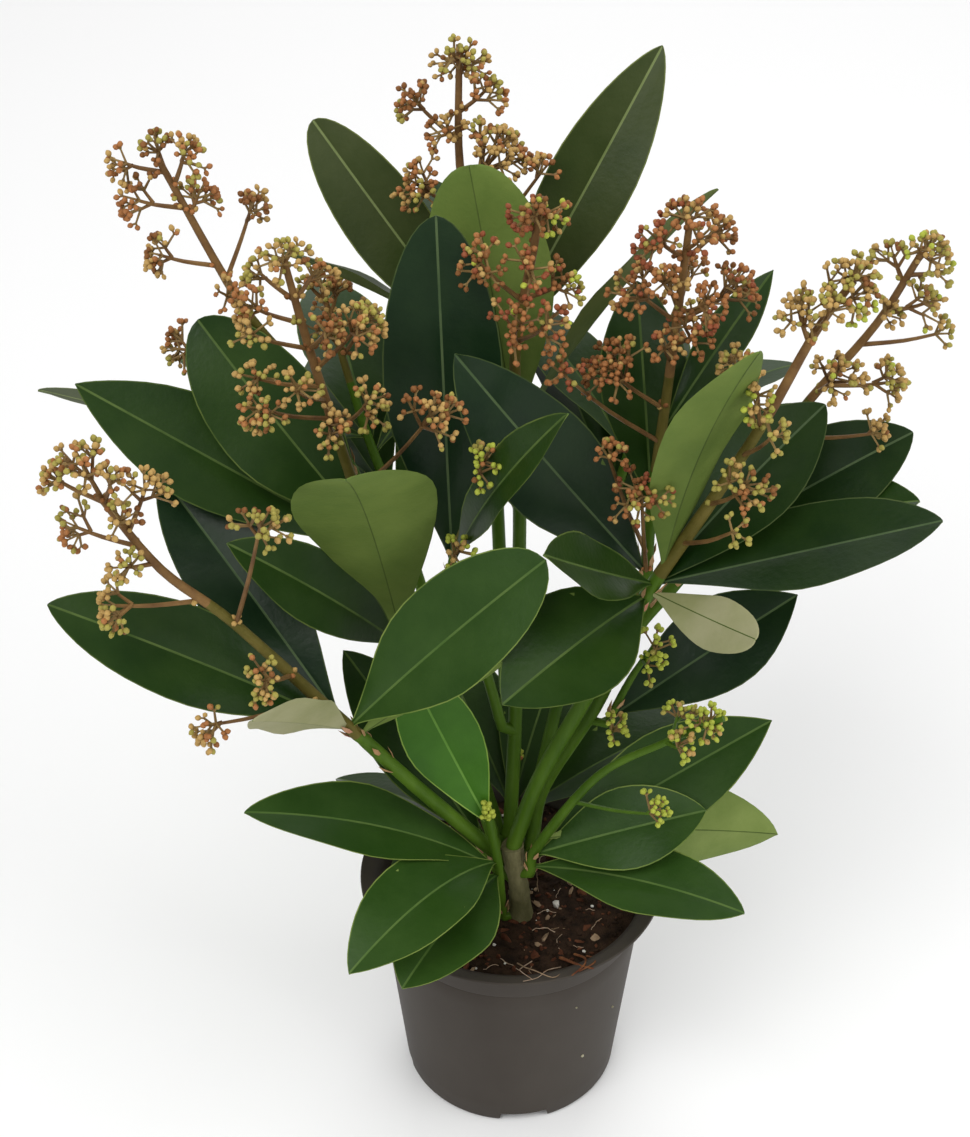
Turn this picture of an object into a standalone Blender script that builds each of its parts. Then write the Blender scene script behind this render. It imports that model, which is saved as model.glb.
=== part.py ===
"""A young skimmia in a round nursery pot, as separate solids.

Metres, Z up. The origin is the centre of the pot's underside, X runs to the right and Y away
from the front. Design sizes below are in millimetres and are scaled once, in make_mesh.
"""

import math
import random
from collections import namedtuple

import bmesh
import bpy
from mathutils import Matrix, Vector
from mathutils.bvhtree import BVHTree

# Driving dimensions, in millimetres
MM = 0.001
GAP = 0.3
POT_HEIGHT = 108.0
RIM_RADIUS = 65.0
NECK_RADIUS = 57.0
NECK_HEIGHT = 101.0
BAND_HEIGHT = 90.0
BAND_STEP = 0.5
FLARE_TURNS = (0, 30, 60, 90)
BASE_RADIUS = 46.5
WALL = 1.4
FLOOR = 7.0
FOOT_NOTCH_WIDTH = 20.0
FOOT_NOTCH_HEIGHT = 5.0
FOOT_NOTCH_TURN = 7
PAD_RADIUS = 22.0
POT_SEGMENTS = 36
SOIL_TOP = 98.0
SOIL_RELIEF = 2.5
SOIL_SEGMENTS = 20
FOOT_CLEARING = 22.0
TRUNK_FOOT = (3.9, -16, SOIL_TOP + GAP)
TRUNK_TOP = (0, -17, 140)
TRUNK_RADII = (5.4, 4.3, 4.4, 4.9)
TRUNK_SIDES = 10
BOUGH_SIDES = 6
STEM_SIDES = 5
LEAF_THICKNESS = 1.8
LEAF_SLENDERNESS = 55
LEAF_STATIONS = (0.1, 0.27, 0.5, 0.74, 0.91)
LEAF_FOLD = 0.16
LEAF_BELLY = 1.25
LEAF_BASE = 0.95
PETIOLE = 2.2
HEAD_RADIUS = 4.8
HEAD_SPACING = 7.0
TWIG_RADII = (1.3, 0.9)
CLEARANCE = 0.5

Leaf = namedtuple("Leaf", "up tip width face bow twist blunt", defaults=((0, 0, 1), 0.06, 0, 0.7))
Whorl = namedtuple("Whorl", "up count azimuth step rise length width")
Spray = namedtuple("Spray", "start count length lean turn seed")
Sprig = namedtuple("Sprig", "up end heads spread")
Shoot = namedtuple("Shoot", "name bough stem radii leaves whorls spray sprigs")

# Which way a leaf's upper side looks. Leaves seen from below turn it to the back.
UP = (0, -0.25, 1)
FRONT_UP = (0, -0.6, 0.8)
FRONT = (0, -0.9, 0.4)
BACK = (0, 0.9, 0.2)

# Each shoot: its bough from the trunk to the leaves, then its own stem up through the leaves
# and the flower head. A leaf or sprig starts at a height along that stem and ends at a point.
SHOOTS = (
    Shoot(
        "left",
        bough=((-8.3, -21.2, 141), (-36, -35, 186), (-57, -46.5, 223)),
        stem=((-58, -47, 225), (-65, -50, 236), (-102, -58, 290), (-126, -62, 318), (-144, -67, 354)),
        radii=(3.2, 2.7, 1.3),
        leaves=(
            Leaf(12, (-172, -45, 289), 38, (0.1, -0.5, 0.85), 0.03),
            Leaf(15, (-135, 8, 311), 38, (0.2, -0.7, 0.7), 0.03),
            Leaf(10, (10, -50, 313), 42, FRONT_UP, 0.05, blunt=0.45),
            Leaf(4, (-1, -45, 265), 32, (0, 0.8, 0.5), 0.04),
            Leaf(9, (-95, -85, 268), 28, (-0.1, 1, 0.2), 0.02),
        ),
        whorls=(),
        spray=None,
        sprigs=(
            Sprig(153, (-149, -69, 373), 6, 10),
            Sprig(153, (-162, -62, 359), 2, 5),
            Sprig(153, (-137, -74, 366), 2, 5),
            Sprig(137, (-126, -66, 360), 4, 8),
            Sprig(129, (-159, -60, 337), 4, 8),
            Sprig(141, (-137, -76, 349), 2, 5),
            Sprig(120, (-140, -72, 326), 2, 5),
            Sprig(96, (-149, -64, 303), 5, 9),
            Sprig(79, (-87, -80, 353), 5, 8),
            Sprig(46, (-91, -84, 285), 4, 8),
            Sprig(30, (-116, -76, 256), 3, 7),
        ),
    ),
    Shoot(
        "front",
        bough=(),
        stem=((-3.9, -18.4, 99.2), (-4.8, -21.4, 115), (-5.6, -24.2, 129), (-6.6, -27.5, 143), (-10, -30, 168)),
        radii=(2.1, 2.1, 2.0),
        leaves=(
            Leaf(33, (-44, -88, 131), 40, UP, 0.1),
            Leaf(42, (-64, -95, 147), 38, UP, 0.15),
            Leaf(37, (-106, -46, 186), 34, (0, -0.2, 0.9), 0.09),
            Leaf(64, (-43, -19, 240), 31, FRONT, 0.02),
        ),
        whorls=(),
        spray=None,
        sprigs=(),
    ),
    Shoot(
        "low_right",
        bough=(),
        stem=((7.5, -21, 128), (10, -22.5, 144), (33, -32, 192), (58, -38, 215), (80, -42, 231)),
        radii=(3.0, 2.4, 1.2),
        leaves=(
            Leaf(4, (93, -55, 139), 34, UP, 0.08),
            Leaf(12, (78, -25, 167), 34, FRONT_UP, 0.05),
            Leaf(9, (107, 10, 185), 40, FRONT_UP, 0.03, blunt=0.9),
            Leaf(24, (115, 16, 115), 42, (0.4, 0.9, -0.3), 0.04),
        ),
        whorls=(),
        spray=None,
        sprigs=(
            Sprig(122, (75, -43, 230), 5, 9),
            Sprig(109, (63, -38, 234), 3, 6),
            Sprig(106, (65, -50, 222), 2, 5),
            Sprig(51, (58, -48, 186), 2, 5),
        ),
    ),
    Shoot(
        "low_left",
        bough=(),
        stem=((-6.8, -12.4, 122), (-15, -6, 138), (-28, 4, 166)),
        radii=(2.6, 2.4, 2.2),
        leaves=(
            Leaf(12, (-68, 5, 226), 34, FRONT_UP, 0.05),
            Leaf(6, (-52, -2, 112), 32, UP, 0.06),
            Leaf(18, (-77, 45, 121), 30, (-0.2, 0.5, 0.8), 0.04),
        ),
        whorls=(),
        spray=None,
        sprigs=(),
    ),
    Shoot(
        "right",
        bough=((0.8, -17, 141.6), (10, -17.5, 176), (26, -18, 216), (46, -16, 261)),
        stem=((47, -16, 263), (55, -15, 280), (74, -14, 316), (91, -12, 350), (106, -8, 383), (118, -5, 402)),
        radii=(3.4, 3.0, 1.4),
        leaves=(
            Leaf(14, (158, -20, 309), 40, UP, 0),
            Leaf(12, (117, 20, 334), 40, (-0.3, -0.6, 0.7), 0.05),
            Leaf(20, (81, -45, 398), 38, (-0.5, 0.8, 0.3), 0.05),
            Leaf(8, (-5, -80, 271), 44, FRONT_UP, 0.08),
            Leaf(14, (9, -84, 341), 26, (0.3, -0.5, 0.8), -0.01),
            Leaf(10, (87, -60, 284), 21, (0.1, 0.6, -0.6), 0.05, blunt=0.5),
        ),
        whorls=(),
        spray=None,
        sprigs=(
            Sprig(152, (119, -6, 409), 5, 9),
            Sprig(144, (108, -10, 409), 2, 5),
            Sprig(129, (97, -14, 399), 5, 10),
            Sprig(147, (120, -16, 402), 4, 9),
            Sprig(134, (109, -22, 402), 2, 5),
            Sprig(90, (79, 0, 370), 3, 8),
            Sprig(92, (84, -30, 373), 4, 8),
            Sprig(55, (81, -44, 340), 5, 10),
            Sprig(79, (90, -40, 360), 2, 5),
            Sprig(35, (78, -54, 329), 2, 5),
        ),
    ),
    Shoot(
        "inner_right",
        bough=(),
        stem=((38, -6, 197), (42, -7, 210), (47, -9, 225), (52, -12, 238)),
        radii=(2.2, 1.8, 1.2),
        leaves=(
            Leaf(4, (114, 20, 243), 38, FRONT_UP, 0.03, blunt=0.9),
        ),
        whorls=(),
        spray=None,
        sprigs=(
            Sprig(40, (55, -18, 251), 3, 6),
            Sprig(40, (52, -24, 241), 2, 5),
            Sprig(3, (38, -32, 214), 2, 5),
        ),
    ),
    Shoot(
        "right_back",
        bough=((8, -12.5, 137), (13, -3, 160), (33, -3, 203), (46, 2, 235), (66, 18, 252)),
        stem=((68, 20, 254), (80, 28, 272), (98, 33, 300), (113, 30, 330), (134, 28, 364), (147, 25, 396)),
        radii=(3.0, 2.5, 1.3),
        leaves=(Leaf(10, (156, 40, 308), 40, FRONT_UP, 0.05),),
        whorls=(Whorl(10, 3, 352, 34, 12, 92, 38),),
        spray=None,
        sprigs=(
            Sprig(160, (151, 24, 402), 6, 10),
            Sprig(151, (136, 30, 397), 4, 8),
            Sprig(155, (157, 20, 392), 2, 5),
            Sprig(137, (155, 24, 377), 4, 9),
            Sprig(136, (137, 22, 372), 2, 5),
            Sprig(120, (162, 28, 361), 1, 5),
            Sprig(98, (146, 22, 343), 4, 9),
            Sprig(94, (118, 6, 356), 5, 10),
            Sprig(69, (141, 20, 321), 2, 5),
        ),
    ),
    Shoot(
        "centre_right",
        bough=((37.8, -10.8, 237), (50, -3, 262)),
        stem=((51, -1, 265), (52, 8, 285), (54, 15, 307), (57, 15, 350), (61, 12, 418)),
        radii=(2.8, 2.6, 1.3),
        leaves=(
            Leaf(4, (-22, -14, 377), 40, FRONT, 0.05),
            Leaf(62, (98, 55, 372), 18, FRONT_UP, 0.07, blunt=0.9),
            Leaf(30, (46, 50, 370), 34, FRONT, 0.05),
        ),
        whorls=(),
        spray=None,
        sprigs=(
            Sprig(150, (59, 14, 422), 4, 8),
            Sprig(139, (75, 18, 413), 4, 8),
            Sprig(139, (46, 8, 414), 3, 7),
            Sprig(143, (64, 0, 416), 2, 5),
            Sprig(112, (38, 12, 393), 5, 10),
            Sprig(122, (50, -2, 401), 2, 5),
            Sprig(112, (83, 10, 393), 5, 10),
            Sprig(116, (69, -4, 393), 3, 7),
            Sprig(102, (65, -6, 382), 4, 8),
            Sprig(95, (52, -8, 377), 2, 5),
            Sprig(73, (30, 2, 364), 7, 12),
            Sprig(4, (45, -30, 330), 6, 10),
            Sprig(11, (32, -22, 342), 2, 5),
            Sprig(58, (13, -8, 368), 2, 5),
        ),
    ),
    Shoot(
        "centre",
        bough=((-1, -8, 141), (1, 5, 200), (2, 14, 279), (1, 15, 310)),
        stem=((1, 15, 313), (0, 15, 340), (0, 15, 365), (5, 15, 398), (9, 15, 424)),
        radii=(3.0, 2.6, 1.3),
        leaves=(
            Leaf(10, (-17, 38, 425), 46, BACK, 0.03, blunt=0.45),
            Leaf(12, (75, 60, 404), 30, (-0.5, 0.6, 0.6), 0.04),
        ),
        whorls=(),
        spray=None,
        sprigs=(
            Sprig(105, (8, 16, 419), 8, 13),
            Sprig(69, (-16, 2, 408), 5, 9),
            Sprig(79, (5, -2, 406), 4, 8),
            Sprig(70, (20, 4, 398), 4, 8),
            Sprig(50, (-1, -14, 389), 4, 9),
            Sprig(52, (12, -12, 389), 3, 8),
        ),
    ),
    Shoot(
        "top",
        bough=((-2.8, 10.4, 201), (-6, 36, 260), (-8, 55, 315)),
        stem=((-8, 56, 318), (-14, 68, 370), (-21, 75, 406), (-21, 85, 450)),
        radii=(3.0, 2.4, 1.2),
        leaves=(
            Leaf(12, (-77, 90, 417), 32, FRONT, 0.05, blunt=0.5),
            Leaf(14, (-88, 60, 377), 32, (0.1, 0.42, 0.9), 0.03),
            Leaf(12, (55, 95, 445), 33, FRONT, 0.05),
        ),
        whorls=(Whorl(8, 2, 60, 50, 30, 95, 36),),
        spray=None,
        sprigs=(
            Sprig(129, (-21, 86, 445), 7, 11),
            Sprig(100, (-41, 82, 432), 3, 7),
            Sprig(111, (-8, 78, 438), 4, 8),
            Sprig(100, (-30, 74, 424), 3, 7),
            Sprig(80, (-3, 68, 421), 9, 14),
            Sprig(72, (-41, 62, 407), 5, 10),
            Sprig(57, (12, 62, 413), 2, 6),
        ),
    ),
    Shoot(
        "upper_left",
        bough=((-15.5, -1.2, 171), (-36, 12, 232), (-60, 21, 296)),
        stem=((-61, 22, 298), (-81, 25, 342), (-102, 25, 376), (-128, 30, 432)),
        radii=(2.8, 2.4, 1.2),
        leaves=(
            Leaf(8, (-184, 40, 328), 30, (0, 0.3, 0.95), 0),
            Leaf(5, (-156, 40, 304), 36, FRONT_UP, 0.05),
        ),
        whorls=(Whorl(10, 1, 128, 30, 8, 95, 34),),
        spray=None,
        sprigs=(
            Sprig(144, (-144, 28, 432), 3, 6),
            Sprig(144, (-129, 34, 438), 2, 5),
            Sprig(138, (-116, 22, 441), 3, 7),
            Sprig(126, (-113, 30, 421), 3, 7),
            Sprig(129, (-140, 24, 419), 4, 8),
            Sprig(98, (-95, 40, 412), 4, 8),
            Sprig(104, (-133, 20, 399), 4, 7),
            Sprig(64, (-133, 45, 343), 4, 7),
            Sprig(88, (-107, 14, 386), 2, 5),
        ),
    ),
    Shoot(
        "mid_left",
        bough=((-7.6, -12.6, 139), (-30, -2, 215), (-48, -3, 264)),
        stem=((-49, -3, 266), (-56, -5, 298), (-62, -6, 321), (-74, -10, 377), (-81, -12, 414)),
        radii=(3.0, 2.6, 1.3),
        leaves=(
            Leaf(18, (-164, 14, 347), 40, FRONT_UP, 0, blunt=0.85),
            Leaf(24, (-118, 25, 368), 44, FRONT, 0.05, blunt=0.5),
        ),
        whorls=(),
        spray=None,
        sprigs=(
            Sprig(146, (-82, -12, 420), 5, 9),
            Sprig(135, (-94, -4, 408), 3, 6),
            Sprig(135, (-69, -6, 410), 3, 6),
            Sprig(125, (-97, -18, 401), 3, 7),
            Sprig(114, (-97, -24, 393), 2, 5),
            Sprig(105, (-52, -22, 398), 6, 9),
            Sprig(114, (-65, -30, 398), 3, 6),
            Sprig(97, (-95, -30, 378), 2, 5),
            Sprig(82, (-93, -40, 372), 5, 8),
            Sprig(91, (-78, -40, 379), 2, 5),
            Sprig(77, (-51, -34, 371), 3, 7),
            Sprig(74, (-66, -40, 365), 3, 7),
            Sprig(47, (-28, -42, 372), 5, 11),
        ),
    ),
    Shoot(
        "inner_left",
        bough=((-25.6, -10.8, 192), (-34, -12, 213), (-41, -8, 231)),
        stem=((-42, -8, 233), (-44, -8, 244)),
        radii=(2.6, 2.4, 2.2),
        leaves=(
            Leaf(6, (-104, -44, 316), 29, FRONT_UP, 0.05),
            Leaf(8, (-57, -93, 379), 52, (-0.15, 0.8, 0.5), 0.1),
        ),
        whorls=(),
        spray=None,
        sprigs=(),
    ),
    Shoot(
        "inner_centre",
        bough=((-4.6, -0.8, 191), (-12, -3, 225), (-22, -7, 262)),
        stem=((-22.5, -7.5, 265), (-24, -10, 282), (-18, -14, 305), (-10, -16, 322)),
        radii=(2.4, 2.0, 1.0),
        leaves=(
            Leaf(14, (-29, 20, 414), 44, FRONT, 0.04, blunt=0.5),
            Leaf(16, (16, -58, 381), 22, (-0.8, -0.4, 0.3), 0.05),
        ),
        whorls=(),
        spray=None,
        sprigs=(
            Sprig(50, (-13, -36, 348), 3, 7),
            Sprig(23, (-23, -34, 303), 2, 6),
        ),
    ),
    Shoot(
        "back_left",
        bough=((-3.8, -9.2, 134), (-25, 25, 190), (-45, 54, 250)),
        stem=((-46, 56, 253), (-60, 76, 283), (-72, 90, 322), (-77, 96, 340)),
        radii=(2.8, 2.4, 1.2),
        leaves=(),
        whorls=(Whorl(8, 4, 70, 42, 14, 102, 38), Whorl(30, 4, 50, 50, 14, 92, 36)),
        spray=Spray(72, 5, 22, 52, 10, 37),
        sprigs=(),
    ),
    Shoot(
        "back_right",
        bough=((3.8, -10.1, 126), (20, 28, 185), (36, 58, 240)),
        stem=((37, 60, 243), (50, 79, 280), (65, 94, 326), (70, 99, 346)),
        radii=(2.8, 2.4, 1.2),
        leaves=(),
        whorls=(Whorl(8, 4, 40, 34, 14, 98, 38), Whorl(30, 4, 34, 42, 16, 92, 36)),
        spray=Spray(76, 5, 22, 52, 70, 41),
        sprigs=(),
    ),
    Shoot(
        "back_low",
        bough=(),
        stem=((-3.2, -9.4, 118), (-1, 3, 136), (2, 15, 160)),
        radii=(2.4, 2.2, 2.0),
        leaves=(),
        whorls=(Whorl(22, 3, 30, 38, 6, 98, 36),),
        spray=None,
        sprigs=(),
    ),
)

POT_COLOUR = (0.065, 0.055, 0.048)
SOIL_COLOUR = (0.03, 0.018, 0.011)
BARK_COLOUR = (0.19, 0.16, 0.11)
STEM_COLOUR = (0.13, 0.2, 0.04)
LEAF_COLOUR = (0.016, 0.05, 0.014)


def smooth_route(points, steps=2):
    """Points along a smooth curve through the given ones, steps to each stretch."""
    ends = [Vector(p) for p in points]
    ends = [2 * ends[0] - ends[1], *ends, 2 * ends[-1] - ends[-2]]
    route = []
    for i in range(1, len(ends) - 2):
        before, start, end, after = ends[i - 1 : i + 3]
        for k in range(steps):
            t = k / steps
            out = (end - before) * 0.5
            into = (after - start) * 0.5
            route.append(
                start * (2 * t**3 - 3 * t**2 + 1)
                + out * (t**3 - 2 * t**2 + t)
                + end * (3 * t**2 - 2 * t**3)
                + into * (t**3 - t**2)
            )
    return [*route, ends[-2]]


def along(route, distance):
    """The point and the direction at a distance along a route."""
    for start, end in zip(route, route[1:]):
        length = (end - start).length
        if distance <= length or end is route[-1]:
            way = (end - start).normalized()
            return start + way * min(distance, length), way
        distance -= length
    return route[-1], (route[-1] - route[-2]).normalized()


def route_length(route):
    return sum((b - a).length for a, b in zip(route, route[1:]))


def side_of(way):
    """A level direction square to way."""
    side = way.cross(Vector((0, 0, 1)))
    return side.normalized() if side.length > 0.05 else Vector((1, 0, 0))


def tube(route, radii, sides):
    """A closed tapering tube: radii are spread evenly over the route's length."""
    total = route_length(route)
    gone = 0.0
    side = side_of(route[1] - route[0])
    points, faces = [], []
    for i, centre in enumerate(route):
        before = route[max(i - 1, 0)]
        after = route[min(i + 1, len(route) - 1)]
        way = (after - before).normalized()
        side = (side - way * side.dot(way)).normalized()
        up = way.cross(side)
        gone += (centre - before).length
        place = min(gone / total, 1) * (len(radii) - 1)
        k = min(int(place), len(radii) - 2)
        radius = radii[k] + (radii[k + 1] - radii[k]) * (place - k)
        for j in range(sides):
            angle = 2 * math.pi * j / sides
            points.append(centre + radius * (math.cos(angle) * side + math.sin(angle) * up))
    for i in range(len(route) - 1):
        for j in range(sides):
            a = i * sides + j
            b = i * sides + (j + 1) % sides
            faces.append((a, b, b + sides, a + sides))
    faces.append(tuple(range(sides - 1, -1, -1)))
    faces.append(tuple(range((len(route) - 1) * sides, len(route) * sides)))
    return points, faces


def half_width(t, leaf):
    """Half the blade's width at t along it: a wedge-shaped base, widest past the middle."""
    place = t**LEAF_BELLY
    power = LEAF_BASE if place < 0.5 else leaf.blunt
    return max(0.5 * leaf.width * math.sin(math.pi * place) ** power, PETIOLE / 2)


def leaf_sides(base, leaf, t):
    """The blade's side and upper normal at t along it."""
    way = (Vector(leaf.tip) - base).normalized()
    face = Vector(leaf.face)
    normal = (face - way * face.dot(way)).normalized()
    side = way.cross(normal)
    angle = math.radians(leaf.twist * t)
    turned = side * math.cos(angle) + normal * math.sin(angle)
    return turned, turned.cross(way)


def leaf_solid(base, leaf, extra=0.0):
    """A folded, arched blade of a few faces. Extra thickens it, for a test of clearance."""
    tip = Vector(leaf.tip)
    length = (tip - base).length
    thick = 0.5 * max(LEAF_THICKNESS, length / LEAF_SLENDERNESS) + extra
    points = [base]
    for t in LEAF_STATIONS:
        side, normal = leaf_sides(base, leaf, t)
        middle = base.lerp(tip, t) + normal * (leaf.bow * length * 4 * t * (1 - t))
        half = half_width(t, leaf) + extra
        lift = normal * (half * LEAF_FOLD)
        points += [middle - side * half + lift, middle + normal * thick]
        points += [middle + side * half + lift, middle - normal * thick]
    points.append(tip)
    faces = [(0, 1 + (k + 1) % 4, 1 + k) for k in range(4)]
    for i in range(len(LEAF_STATIONS) - 1):
        a = 1 + 4 * i
        for k in range(4):
            following = (k + 1) % 4
            faces.append((a + k, a + following, a + 4 + following, a + 4 + k))
    last = 1 + 4 * (len(LEAF_STATIONS) - 1)
    faces += [(last + k, last + (k + 1) % 4, len(points) - 1) for k in range(4)]
    return points, faces


def whorl_leaves(stem, whorl, rng):
    """Leaves set round a stem by turning a fixed step for each."""
    leaves = []
    for i in range(whorl.count):
        up = whorl.up + 2.5 * i
        base, _ = along(stem, up)
        azimuth = math.radians(whorl.azimuth + whorl.step * i + rng.uniform(-8, 8))
        rise = math.radians(whorl.rise + rng.uniform(-10, 14))
        length = whorl.length * rng.uniform(0.88, 1.06)
        level = Vector((math.cos(azimuth), math.sin(azimuth), 0))
        tip = base + length * (math.cos(rise) * level + math.sin(rise) * Vector((0, 0, 1)))
        width = whorl.width * rng.uniform(0.9, 1.1)
        face = (rng.uniform(-0.25, 0.25), rng.uniform(-0.25, 0.25), 1)
        leaves.append(Leaf(up, tuple(tip), width, face, rng.uniform(0.03, 0.09)))
    return leaves


def spray_branches(stem, spray):
    """The flower head's side branches by rule, each with two shorter twigs past its middle."""
    rng = random.Random(spray.seed)
    total = route_length(stem)
    branches = []
    for i in range(spray.count):
        share = i / spray.count
        start, way = along(stem, spray.start + (total - spray.start) * share)
        azimuth = math.radians(spray.turn + 137.5 * i + rng.uniform(-15, 15))
        lean = math.radians(spray.lean * (1.1 - 0.5 * share) + rng.uniform(-8, 8))
        side = side_of(way)
        out = side * math.cos(azimuth) + side.cross(way) * math.sin(azimuth)
        reach = way * math.cos(lean) + out * math.sin(lean)
        end = start + reach * spray.length * (1 - 0.45 * share) * rng.uniform(0.85, 1.15)
        branch = end - start
        across = branch.cross(way).normalized()
        twigs = []
        for hand in (-1, 1):
            root = start + branch * rng.uniform(0.45, 0.6)
            turned = branch.normalized() + across * hand * rng.uniform(0.6, 0.95) + way * rng.uniform(0, 0.35)
            twigs.append((root, root + turned.normalized() * branch.length * 0.52))
        branches.append([(start, end), *twigs])
    way = (stem[-1] - stem[-2]).normalized()
    branches.append([(stem[-1] - way * 2, stem[-1] + way * 6)])
    return branches


def sprig_branch(stem, sprig):
    """A side branch from a height on the stem to an end, with heads spread round that end."""
    start, _ = along(stem, sprig.up)
    end = Vector(sprig.end)
    branch = end - start
    way = branch.normalized()
    across = side_of(way)
    over = across.cross(way)
    fork = end - way * min(sprig.spread * 1.3, 0.6 * branch.length)
    twigs = [(start, end)]
    for i in range(1, sprig.heads):
        angle = math.radians(137.5 * i)
        radius = sprig.spread * math.sqrt(i / (sprig.heads - 1))
        out = across * math.cos(angle) + over * math.sin(angle)
        twigs.append((fork, end + out * radius - way * (0.35 * radius)))
    return twigs


def twig_solid(start, end):
    """A three-sided twig that swells at its end into a head of buds, in one closed piece."""
    way = (end - start).normalized()
    side = side_of(way)
    up = way.cross(side)
    rings = (
        (start, TWIG_RADII[0], 0),
        (end - way * HEAD_RADIUS * 0.9, TWIG_RADII[1], 0),
        (end - way * HEAD_RADIUS * 0.25, HEAD_RADIUS, 0),
        (end + way * HEAD_RADIUS * 0.5, HEAD_RADIUS * 0.85, 0.5),
    )
    points = []
    for centre, radius, turn in rings:
        for k in range(3):
            angle = 2 * math.pi * (k + turn) / 3
            points.append(centre + radius * (math.cos(angle) * side + math.sin(angle) * up))
    faces = [(2, 1, 0), (9, 10, 11)]
    for a in (0, 3, 6):
        for k in range(3):
            b = (k + 1) % 3
            faces += [(a + k, a + b, a + 3 + k), (a + b, a + 3 + b, a + 3 + k)]
    return points, faces


def material(name, colour, roughness):
    made = bpy.data.materials.new(name)
    made.use_nodes = True
    shader = made.node_tree.nodes["Principled BSDF"]
    shader.inputs["Base Color"].default_value = (*colour, 1)
    shader.inputs["Roughness"].default_value = roughness
    shader.inputs["Metallic"].default_value = 0
    return made


def make_mesh(name, solid):
    """A mesh in metres from points in millimetres, with its faces turned outwards."""
    points, faces = solid
    mesh = bpy.data.meshes.new(name)
    mesh.from_pydata([p * MM for p in points], [], faces)
    shell = bmesh.new()
    shell.from_mesh(mesh)
    bmesh.ops.recalc_face_normals(shell, faces=shell.faces)
    shell.to_mesh(mesh)
    shell.free()
    return mesh


def add_object(name, mesh, finish=None):
    made = bpy.data.objects.new(name, mesh)
    bpy.context.scene.collection.objects.link(made)
    if finish is not None:
        mesh.materials.clear()
        mesh.materials.append(finish)
        mesh.shade_smooth()
        mesh.set_sharp_from_angle(angle=math.radians(40))
    return made


def evaluated_mesh(thing):
    graph = bpy.context.evaluated_depsgraph_get()
    return bpy.data.meshes.new_from_object(thing.evaluated_get(graph))


def largest_shell(mesh):
    """Keeps the largest closed shell. This fills sealed hollows and drops loose scrap."""
    shell = bmesh.new()
    shell.from_mesh(mesh)
    bmesh.ops.dissolve_limit(shell, angle_limit=math.radians(0.05), verts=shell.verts, edges=shell.edges)
    shell.faces.ensure_lookup_table()
    seen = set()
    groups = []
    for first in shell.faces:
        if first in seen:
            continue
        group = []
        queue = [first]
        seen.add(first)
        while queue:
            face = queue.pop()
            group.append(face)
            for edge in face.edges:
                for near in edge.link_faces:
                    if near not in seen:
                        seen.add(near)
                        queue.append(near)
        groups.append(group)
    groups.sort(key=len)
    scrap = [face for group in groups[:-1] for face in group]
    bmesh.ops.delete(shell, geom=scrap, context="FACES")
    shell.to_mesh(mesh)
    shell.free()
    return mesh


def fuse(name, solids, finish):
    """One object from overlapping solids, by a single union over a collection."""
    body = add_object(name, make_mesh(name, solids[0]))
    parts = bpy.data.collections.new(name + "_parts")
    bpy.context.scene.collection.children.link(parts)
    pieces = []
    for i, solid in enumerate(solids[1:]):
        piece = bpy.data.objects.new(f"{name}_{i}", make_mesh(f"{name}_{i}", solid))
        parts.objects.link(piece)
        pieces.append(piece)
    union = body.modifiers.new("union", "BOOLEAN")
    union.operation = "UNION"
    union.operand_type = "COLLECTION"
    union.collection = parts
    union.solver = "EXACT"
    mesh = largest_shell(evaluated_mesh(body))
    for piece in [body, *pieces]:
        bpy.data.objects.remove(piece)
    bpy.data.collections.remove(parts)
    return add_object(name, mesh, finish)


def tree_of(solid):
    points, faces = solid
    return BVHTree.FromPolygons([tuple(p) for p in points], faces)


def tree_of_object(thing):
    points = [v.co / MM for v in thing.data.vertices]
    faces = [tuple(p.vertices) for p in thing.data.polygons]
    return BVHTree.FromPolygons(points, faces)


def touched(solid, obstacles):
    """Whether this solid would touch one of the finished ones."""
    tree = tree_of(solid)
    return any(tree.overlap(other) for other in obstacles)


def turned_profile(profile, segments):
    """A closed solid of revolution. The profile's first and last points are on the axis."""
    points = [Vector((0, 0, profile[0][1]))]
    rings = profile[1:-1]
    for radius, height in rings:
        for k in range(segments):
            angle = 2 * math.pi * k / segments
            points.append(Vector((radius * math.cos(angle), radius * math.sin(angle), height)))
    points.append(Vector((0, 0, profile[-1][1])))
    faces = []
    for k in range(segments):
        following = (k + 1) % segments
        faces.append((0, 1 + following, 1 + k))
        for i in range(len(rings) - 1):
            a = 1 + i * segments
            b = a + segments
            faces.append((a + k, a + following, b + following, b + k))
        last = 1 + (len(rings) - 1) * segments
        faces.append((last + k, last + following, len(points) - 1))
    return points, faces


def wall_radius(height):
    """The outer radius of the plain wall at a height."""
    return BASE_RADIUS + (NECK_RADIUS - BASE_RADIUS) * height / NECK_HEIGHT


def rim_profile(inset):
    """The rim's trumpet-shaped flare, from the neck out to the lip, set in by part of the wall."""
    rise = POT_HEIGHT - WALL - NECK_HEIGHT
    points = []
    for turn in FLARE_TURNS:
        level, upright = math.cos(math.radians(turn)), math.sin(math.radians(turn))
        radius = RIM_RADIUS - (RIM_RADIUS - NECK_RADIUS + inset) * level
        points.append((radius, NECK_HEIGHT + (rise + inset) * upright))
    return points


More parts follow.
